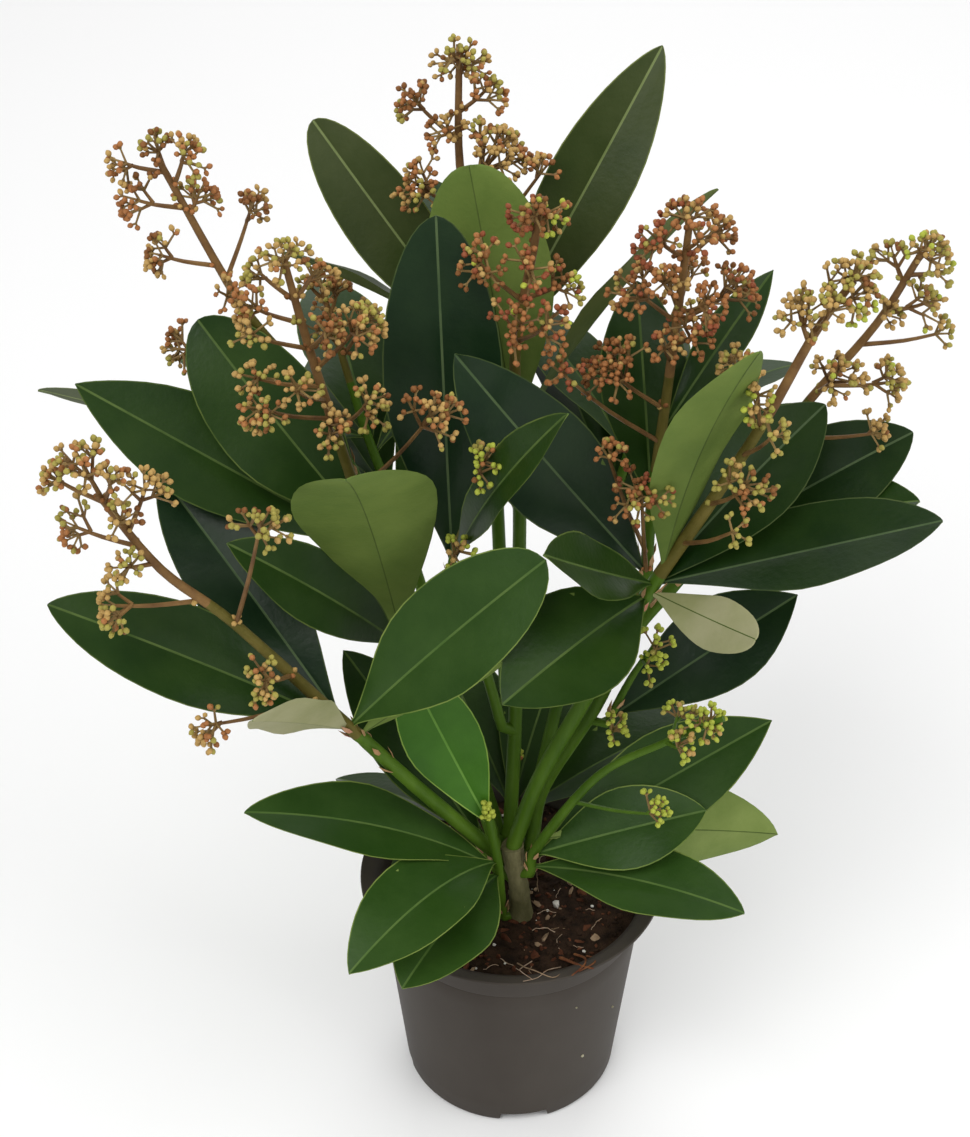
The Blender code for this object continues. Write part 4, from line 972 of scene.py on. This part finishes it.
def flower_head(heaps, tree, branches, mix, twig_look, rng):
    """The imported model's branches, with finer ones between them, each ending in an umbel."""
    heads, standing = [], []
    for stalk, *forks in branches:
        if not stands(tree, twig_corners(*stalk)):
            continue
        for k, (start, end) in enumerate([stalk, *forks]):
            crowded = k and near_any(end, standing, HEAD_SPACING)
            if crowded and near_any(end, heads, HEAD_CROWDING):
                continue
            if not crowded:
                if not stands(tree, twig_corners(start, end)):
                    continue
                standing.append(end)
            heads.append(end)
            way = (end - start).normalized()
            middle = start.lerp(end, 0.5) - Vector((0, 0, TWIG_SAG * (end - start).length))
            route = smooth_route((start, middle, end - way * 4), 3)
            thick = 1.0 if k == 0 else 0.75
            heaps.twigs.add(*tube(route, (thick, thick * 0.85, 0.6), TWIG_ROUND), twig_look)
            umbel(heaps, start, end, mix, rng)
            if k == 0 and len(forks) > 1:
                colours = (rng.choices(list(BUD_COLOURS), mix)[0], mix)
                out = (way + Vector((0, 0, 0.6))).normalized()
                bud_group(heaps, start + out * 0.8, out, rng.randint(2, 4), 2.4, colours, rng)


def end_tuft(heaps, stem, count, mix, rng):
    """The tuft of green buds at the end of a shoot with no flower head."""
    tip, way = along(stem, route_length(stem))
    for i in range(count):
        foot = tip + way * (1.5 * i - 2)
        bud_group(heaps, foot, way, 5 - i // 2, 3.4 - 0.3 * i, ("lime", mix), rng)


def limb_look(share, above):
    """The stem's colour along it: green below, olive brown and then red brown in the head."""
    if share < above:
        return GREEN
    return OLIVE if share < above + 0.5 * (1 - above) else RED


def fork_point(foot, shoot):
    """The nearest place on the trunk's or another bough's axis, a little below a limb's foot."""
    low = Vector(foot) - Vector((0, 0, FORK_DROP))
    places = []
    for axis in [TRUNK_ROUTE] + [other.bough for other in SHOOTS if other.bough and other is not shoot]:
        for start, end in zip(axis, axis[1:]):
            share = geometry.intersect_point_line(low, start, end)[1]
            places.append(Vector(start).lerp(Vector(end), min(max(share, 0), 1)))
    return min(places, key=lambda place: (place - low).length)


def rooted(route, root):
    """A limb's route with its root inside the limb that it grows from, where that is near."""
    return [root, *route] if (root - route[0]).length < FORK_REACH else route


def scale_leaf(heap, foot, way, out, length, width, look):
    """A small pointed bud scale that hugs a stem."""
    side = way.cross(out).normalized()
    top = foot + way * length + out * (length * 0.22)
    middle = foot + way * (length * 0.45) + out * (length * 0.14)
    points = [foot - side * width * 0.3, foot + side * width * 0.3, middle + side * width * 0.5]
    points += [middle - side * width * 0.5, top]
    points += [p - out * 0.25 for p in points[:4]]
    faces = [(0, 1, 2, 3), (3, 2, 4), (5, 8, 7, 6), (8, 4, 7)]
    faces += [(0, 5, 6, 1), (1, 6, 7, 2), (2, 7, 4), (3, 4, 8), (0, 3, 8, 5)]
    heap.add(points, faces, look)


def grow_leaves(heap, shoot, stem, tree, rng):
    """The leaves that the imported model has. The height of the highest one comes back."""
    spread = random.Random(shoot.name)
    leaves = list(shoot.leaves)
    for whorl in shoot.whorls:
        leaves += whorl_leaves(stem, whorl, spread)
    highest = 0.0
    for leaf in leaves:
        base, _ = along(stem, leaf.up)
        if stands(tree, leaf_corners(base, leaf)):
            highest = max(highest, leaf.up)
            fine_leaf(heap, base, leaf, rng)
    return highest


def grow_shoot(heaps, shoot, tree):
    """One mass by the source's rule, carried to finer leaves, twigs and buds."""
    stem = smooth_route(shoot.stem)
    rng = random.Random(shoot.name + " detail")
    highest = grow_leaves(heaps.leaves, shoot, stem, tree, rng)
    branches = spray_branches(stem, shoot.spray) if shoot.spray else []
    branches += [sprig_branch(stem, sprig) for sprig in shoot.sprigs]
    green = shoot.name in GREEN_TWIGS or not branches
    above = 1.0 if green else min((highest + GREEN_PAST_LEAVES) / route_length(stem), 1.0)
    root = Vector(shoot.bough[-1]) if shoot.bough else fork_point(shoot.stem[0], shoot)
    limb = rooted(smooth_route(shoot.stem, STEM_STEPS), root)
    rough_tube(heaps.stems, limb, shoot.radii[1:], STEM_RELIEF, lambda share: limb_look(share, above))
    mix = BUD_MIXES.get(shoot.name, PLAIN_MIX)
    if branches:
        flower_head(heaps, tree, branches, mix, GREEN_TWIG if green else RED_TWIG, rng)
    else:
        end_tuft(heaps, stem, FRONT_TUFT if shoot.name == "front" else PLAIN_TUFT, mix, rng)
    for i in range(6):
        foot, way = along(stem, 1 + 2.0 * i)
        out = around(way, math.radians(GOLDEN_TURN * i))
        foot += out * (shoot.radii[1] * 0.95)
        look = DRY_SCALE if i % 2 else ROSY_SCALE
        scale_leaf(heaps.scales, foot, way, out, rng.uniform(4, 8), rng.uniform(1.6, 2.6), look)


def grow_boughs(heaps):
    """Every bough as a finer limb, with a few bud scales at its top."""
    rng = random.Random("boughs")
    for shoot in SHOOTS:
        if not shoot.bough:
            continue
        route = smooth_route(shoot.bough, STEM_STEPS)
        limb = rooted(route, fork_point(shoot.bough[0], shoot))
        rough_tube(heaps.boughs, limb, shoot.radii[:2], BOUGH_RELIEF, lambda share: GREEN)
        total = route_length(route)
        for i in range(5):
            foot, way = along(route, total - 3 - 4.5 * i)
            out = around(way, math.radians(GOLDEN_TURN * i + 40))
            foot += out * shoot.radii[1]
            scale_leaf(heaps.scales, foot, way, out, rng.uniform(5, 10), rng.uniform(1.6, 2.8), DRY_SCALE)


def trunk_bark():
    """The trunk with its ridged grey bark, leaf scars and lenticels."""
    route = smooth_route(TRUNK_ROUTE, 8)
    points, faces = tube(route, TRUNK_RADII, TRUNK_ROUND)
    for i, centre in enumerate(route):
        scar = sum(math.exp(-(((centre.z - height) / 1.1) ** 2)) for height in TRUNK_SCARS)
        for k in range(i * TRUNK_ROUND, (i + 1) * TRUNK_ROUND):
            out = (points[k] - centre).normalized()
            ridge = noise.noise(Vector((out.x * 2.2, out.y * 2.2, centre.z * 0.09)) + Vector((3, 1, 7)))
            wart = max(0.0, noise.noise(points[k] * 0.55) - 0.25)
            points[k] = points[k] + out * (0.45 * ridge + 1.1 * wart + 0.45 * scar - 0.2)
    for point in points[:TRUNK_ROUND]:
        point.z = TRUNK_FOOT[2]
    heap = Heap()
    heap.add(points, faces, 0)
    return heap


def lump(heap, centre, sizes, look, rng):
    """A small uneven crumb."""
    angle = rng.uniform(0, 6.3)
    axis = (rng.uniform(-1, 1), rng.uniform(-1, 1), rng.uniform(-1, 1.1))
    turn = Matrix.Rotation(angle, 3, axis)
    points = []
    for corner in LUMP_CORNERS:
        p = Vector(corner) * rng.uniform(0.75, 1.15)
        points.append(centre + turn @ Vector((p.x * sizes[0], p.y * sizes[1], p.z * sizes[2])))
    heap.add(points, LUMP_FACES, look)


def wall_radius(height):
    """The outer radius of the plain wall at a height."""
    return BASE_RADIUS + (NECK_RADIUS - BASE_RADIUS) * height / NECK_HEIGHT


def soil_height(x, y):
    """The compost's surface: a few low humps, flat where the trunk stands, and crumbly all over."""
    from_foot = math.hypot(x - TRUNK_FOOT[0], y - TRUNK_FOOT[1])
    humps = math.sin(x * 0.11 + 0.8) * math.cos(y * 0.13 - 0.4) - 0.35
    share = min(max((from_foot - FOOT_CLEARING) / 20, 0), 1)
    place = Vector((x, y, 0))
    crumbs = noise.noise(place * 0.35) * 0.8 + noise.noise(place * 1.1) * 0.45
    return SOIL_TOP + SOIL_RELIEF * humps * share + crumbs


def soil_edge():
    """The radius of the compost's top, just inside the pot's wall."""
    return wall_radius(SOIL_SIDE_TOP) - WALL - GAP - 0.4


def compost_surface():
    """The compost that fills the pot, with its rough top."""
    edge = soil_edge()
    bottom = FLOOR + GAP
    profile = [(0, bottom), (wall_radius(bottom) - WALL - GAP - 0.1, bottom), (edge - 0.3, SOIL_SIDE_TOP)]
    profile += [(edge * (1 - i / SOIL_RINGS), SOIL_TOP) for i in range(SOIL_RINGS)]
    profile.append((0, SOIL_TOP))
    points, faces = turned_profile(profile, SOIL_ROUND)
    for p in points:
        if p.z > SOIL_TOP - 1:
            p.z = soil_height(p.x, p.y)
    heap = Heap()
    heap.add(points, faces, 0)
    return heap


def compost_bits():
    """The crumbs, bark chips, perlite and root fibres on the compost."""
    heap = Heap()
    rng = random.Random("compost")

    def spot(limit):
        radius = soil_edge() * limit * math.sqrt(rng.random())
        angle = rng.uniform(0, 2 * math.pi)
        x, y = radius * math.cos(angle), radius * math.sin(angle)
        return Vector((x, y, soil_height(x, y)))

    for _ in range(CRUMBS):
        size = rng.uniform(0.5, 1.7)
        place = spot(0.97)
        sizes = (size, size * rng.uniform(0.6, 1), size * 0.6)
        lump(heap, place, sizes, rng.choice((EARTH, EARTH, RED_CHIP)), rng)
    for _ in range(BARK_CHIPS):
        long = rng.uniform(1.5, 4.2)
        place = spot(0.92)
        sizes = (long, long * rng.uniform(0.3, 0.6), long * 0.25)
        lump(heap, place, sizes, rng.choice((EARTH, RED_CHIP, RED_CHIP, PALE_CHIP)), rng)
    for _ in range(PERLITE):
        size = rng.uniform(0.5, 1.2)
        lump(heap, spot(0.94), (size, size * 0.8, size * 0.7), WHITE, rng)
    lump(heap, Vector(BIG_PERLITE[0]), BIG_PERLITE[1], WHITE, rng)
    for _ in range(FIBRES):
        start = spot(0.93)
        length = rng.uniform(4, 13)
        radius = rng.uniform(0.12, 0.25)
        fibre(heap, start, length, radius, rng.choice((PALE_CHIP, PALE_ROOT, PALE_ROOT)), rng)
    for look, radius, points in LOOSE_ROOTS:
        heap.add(*tube(smooth_route(points, 4), (radius, radius * 0.5), 5), look)
    return heap


def fibre(heap, start, length, radius, look, rng):
    """A fine root that wanders over the compost."""
    angle = rng.uniform(0, 6.3)
    route = [start + Vector((0, 0, 0.4))]
    for _ in range(FIBRE_STEPS):
        angle += rng.uniform(-0.7, 0.7)
        step = Vector((math.cos(angle), math.sin(angle), rng.uniform(-0.25, 0.3))) * (length / FIBRE_STEPS)
        following = route[-1] + step
        if math.hypot(following.x, following.y) > wall_radius(SOIL_TOP) - 3:
            break
        route.append(following)
    if len(route) > 2:
        heap.add(*tube(route, (radius, radius * 0.7), 4), look)


def rim_profile(inset):
    """The rim's trumpet-shaped flare, from the neck out to the lip, set in by part of the wall."""
    rise = POT_HEIGHT - WALL - NECK_HEIGHT
    points = []
    for turn in FLARE_TURNS:
        level, upright = math.cos(math.radians(turn)), math.sin(math.radians(turn))
        radius = RIM_RADIUS - (RIM_RADIUS - NECK_RADIUS + inset) * level
        points.append((radius, NECK_HEIGHT + (rise + inset) * upright))
    return points


def pot_profile():
    """The pot from the middle of its foot, up its outside, over the lip and down its inside."""
    profile = [(0, 0), (BASE_RADIUS - 1.8, 0), (BASE_RADIUS - 0.7, 0.3), (wall_radius(1.8), 1.8)]
    profile += [(wall_radius(h), h) for h in (12, 26, 40, 54, 68, 80, BAND_HEIGHT - 0.8)]
    at_band = wall_radius(BAND_HEIGHT)
    profile += [(at_band - 0.25, BAND_HEIGHT - 0.2), (at_band + 0.2, BAND_HEIGHT + 0.3)]
    profile.append((at_band + BAND_STEP, BAND_HEIGHT + 1.0))
    outer, inner = rim_profile(0), rim_profile(WALL)
    lip = outer[-1][1]
    profile += outer[:-1] + [(RIM_RADIUS - 0.35, lip), (RIM_RADIUS, lip + 0.4)]
    profile += [(RIM_RADIUS, POT_HEIGHT - 0.4), (RIM_RADIUS - 0.35, POT_HEIGHT)] + inner[-2::-1]
    return profile + [(wall_radius(h) - WALL, h) for h in (80, 50, 20, FLOOR)] + [(0, FLOOR)]


def cut_notch(pot, azimuth):
    """Cut one notch through the foot, a little wider at the bottom."""
    reach = BASE_RADIUS + 10 - PAD_RADIUS
    turn = Matrix.Rotation(math.radians(azimuth), 3, "Z")
    corners = []
    for z, flare in ((-FOOT_NOTCH_HEIGHT, FOOT_NOTCH_FLARE), (FOOT_NOTCH_HEIGHT, 0)):
        half = (FOOT_NOTCH_WIDTH + flare) / 2
        for x, y in ((-half, 0), (half, 0), (half, 1), (-half, 1)):
            corners.append(tuple((turn @ Vector((x, -PAD_RADIUS - reach * y, z))) * MM))
    faces = [(0, 1, 2, 3), (4, 5, 6, 7)] + [(k, (k + 1) % 4, 4 + (k + 1) % 4, 4 + k) for k in range(4)]
    mesh = bpy.data.meshes.new("notch")
    mesh.from_pydata(corners, [], faces)
    turn_faces_out(mesh)
    cutter = add_object("notch", mesh)
    cut = pot.modifiers.new("notch", "BOOLEAN")
    cut.operation = "DIFFERENCE"
    cut.object = cutter
    cut.solver = "EXACT"
    graph = bpy.context.evaluated_depsgraph_get()
    whole = bpy.data.meshes.new_from_object(pot.evaluated_get(graph))
    pot.modifiers.clear()
    pot.data = whole
    bpy.data.objects.remove(cutter)


def pot_pieces(plastic, speck):
    """The pot with a rounded foot, a fine step and a flared rim, its foot notched, and dry specks on it."""
    heap = Heap()
    heap.add(*turned_profile(pot_profile(), POT_ROUND), 0)
    pot = make_piece("pot_shell", heap, [plastic], ["pot"])
    for i in range(4):
        cut_notch(pot, 90 * i + FOOT_NOTCH_TURN)
    specks = Heap()
    rng = random.Random("specks")
    for azimuth, height, size in POT_SPECKS:
        radius = wall_radius(height)
        angle = math.radians(azimuth)
        centre = Vector((radius * math.cos(angle), radius * math.sin(angle), height))
        lump(specks, centre, (size, size, size), 0, rng)
    make_piece("pot_specks", specks, [speck], [])


def plain(name, colour, roughness):
    """A new material with one shader and its plain numbers set."""
    made = bpy.data.materials.new(name)
    made.use_nodes = True
    shader = made.node_tree.nodes["Principled BSDF"]
    shader.inputs["Base Color"].default_value = (*colour, 1)
    shader.inputs["Roughness"].default_value = roughness
    return made, shader


def noise_node(tree, place, scale, detail):
    """A noise pattern over a place vector."""
    pattern = tree.nodes.new("ShaderNodeTexNoise")
    pattern.inputs["Scale"].default_value = scale
    pattern.inputs["Detail"].default_value = detail
    tree.links.new(place, pattern.inputs["Vector"])
    return pattern


def textured(name, dark, light, roughness, scale, bump, stretch=(1, 1, 1), shine=0.12, detail_scale=None):
    """A material whose colour drifts between two tones, with uneven gloss and a fine relief."""
    made, shader = plain(name, dark, roughness)
    tree = made.node_tree
    place = tree.nodes.new("ShaderNodeTexCoord")
    fit = tree.nodes.new("ShaderNodeMapping")
    fit.inputs["Scale"].default_value = stretch
    tree.links.new(place.outputs["Object"], fit.inputs["Vector"])
    drift = noise_node(tree, fit.outputs["Vector"], scale, 6)
    drift.inputs["Roughness"].default_value = 0.6
    ramp = tree.nodes.new("ShaderNodeValToRGB")
    for element, position, colour in zip(ramp.color_ramp.elements, (0.35, 0.68), (dark, light)):
        element.position = position
        element.color = (*colour, 1)
    tree.links.new(drift.outputs["Fac"], ramp.inputs["Fac"])
    tree.links.new(ramp.outputs["Color"], shader.inputs["Base Color"])
    gloss = tree.nodes.new("ShaderNodeMapRange")
    gloss.inputs["To Min"].default_value = max(roughness - 0.08, 0)
    gloss.inputs["To Max"].default_value = min(roughness + 0.12, 1)
    tree.links.new(drift.outputs["Fac"], gloss.inputs["Value"])
    tree.links.new(gloss.outputs["Result"], shader.inputs["Roughness"])
    grain = noise_node(tree, fit.outputs["Vector"], detail_scale or scale * 9, 4)
    relief = tree.nodes.new("ShaderNodeBump")
    relief.inputs["Strength"].default_value = bump
    relief.inputs["Distance"].default_value = 0.0006
    tree.links.new(grain.outputs["Fac"], relief.inputs["Height"])
    tree.links.new(relief.outputs["Normal"], shader.inputs["Normal"])
    shader.inputs["Specular IOR Level"].default_value = shine
    return made


def leaf_finishes():
    """For each tone: blade, midrib, margin, underside and the underside's midrib."""
    made = []
    for tone, (dark, light, under, under_light, rough) in LEAF_TONES.items():
        made.append(textured(f"leaf_{tone}", dark, light, rough, 26, 0.22, shine=0.18, detail_scale=420))
        made.append(textured(f"midrib_{tone}", *RIB_COLOURS[tone], 0.45, 60, 0.1))
        made.append(textured(f"margin_{tone}", *MARGIN_COLOURS[tone], 0.5, 60, 0.1))
        made.append(textured(f"underside_{tone}", under, under_light, 0.6, 30, 0.3, detail_scale=500))
        made.append(textured(f"under_rib_{tone}", *UNDER_RIB_COLOURS, 0.55, 60, 0.1))
    return made


def bud_finishes():
    """The finish of every bud colour."""
    made = []
    for name, colour in BUD_COLOURS.items():
        made.append(textured("bud_" + name, colour, tuple(c * 1.25 for c in colour), 0.5, 120, 0.15))
    return made


def studio():
    """A pale floor, soft even light and the camera at the photograph's angle."""
    mesh = bpy.data.meshes.new("floor")
    mesh.from_pydata([(-4, -4, 0), (4, -4, 0), (4, 4, 0), (-4, 4, 0)], [], [(0, 1, 2, 3)])
    mesh.materials.append(plain("pale_floor", (0.9, 0.9, 0.9), 0.9)[0])
    floor = add_object("floor", mesh)
    world = bpy.data.worlds.new("studio")
    world.use_nodes = True
    world.node_tree.nodes["Background"].inputs["Color"].default_value = (1, 1, 1, 1)
    world.node_tree.nodes["Background"].inputs["Strength"].default_value = WORLD_STRENGTH
    bpy.context.scene.world = world
    bpy.context.scene.view_settings.view_transform = "Standard"
    for name, place, aim, power in LIGHTS:
        light = bpy.data.lights.new(name, "AREA")
        light.size = LIGHT_SIZE
        light.energy = power
        lamp = add_object(name, light)
        lamp.location = place
        lamp.rotation_euler = (Vector(aim) - Vector(place)).to_track_quat("-Z", "Y").to_euler()
    lens = bpy.data.cameras.new("camera")
    lens.lens = CAMERA_LENS
    lens.sensor_width = 36
    camera = add_object("camera", lens)
    camera.location = CAMERA_AT
    camera.rotation_euler = (math.radians(CAMERA_PITCH), 0, 0)
    bpy.context.scene.camera = camera


def main():
    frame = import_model()
    studio()
    heaps = Heaps(*(Heap() for _ in Heaps._fields))
    for shoot in SHOOTS:
        grow_shoot(heaps, shoot, node_tree_of(frame["nodes"][shoot.name + "_leaves"]))
    grow_boughs(heaps)
    masses = [shoot.name + "_leaves" for shoot in SHOOTS]
    limbs = [shoot.name + "_bough" for shoot in SHOOTS if shoot.bough]
    looks = {name: textured(name, *values) for name, values in FINISHES.items()}
    make_piece("leaf_blades", heaps.leaves, leaf_finishes(), masses)
    make_piece("stems", heaps.stems, [looks[name] for name in STEM_FINISHES], masses)
    make_piece("twigs", heaps.twigs, [looks[name] for name in TWIG_FINISHES], masses)
    make_piece("flower_buds", heaps.buds, [looks["bud_foot"], *bud_finishes()], masses)
    make_piece("bud_scales", heaps.scales, [looks[name] for name in SCALE_FINISHES], [])
    make_piece("bough_bark", heaps.boughs, [looks["green_stem"]], limbs)
    make_piece("trunk_bark", trunk_bark(), [looks["trunk_bark"]], ["trunk"])
    make_piece("compost_surface", compost_surface(), [looks["compost"]], ["soil"])
    make_piece("compost_bits", compost_bits(), [looks[name] for name in CRUMB_FINISHES], [])
    pot_pieces(looks["pot_plastic"], looks["dry_speck"])
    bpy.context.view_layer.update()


main()
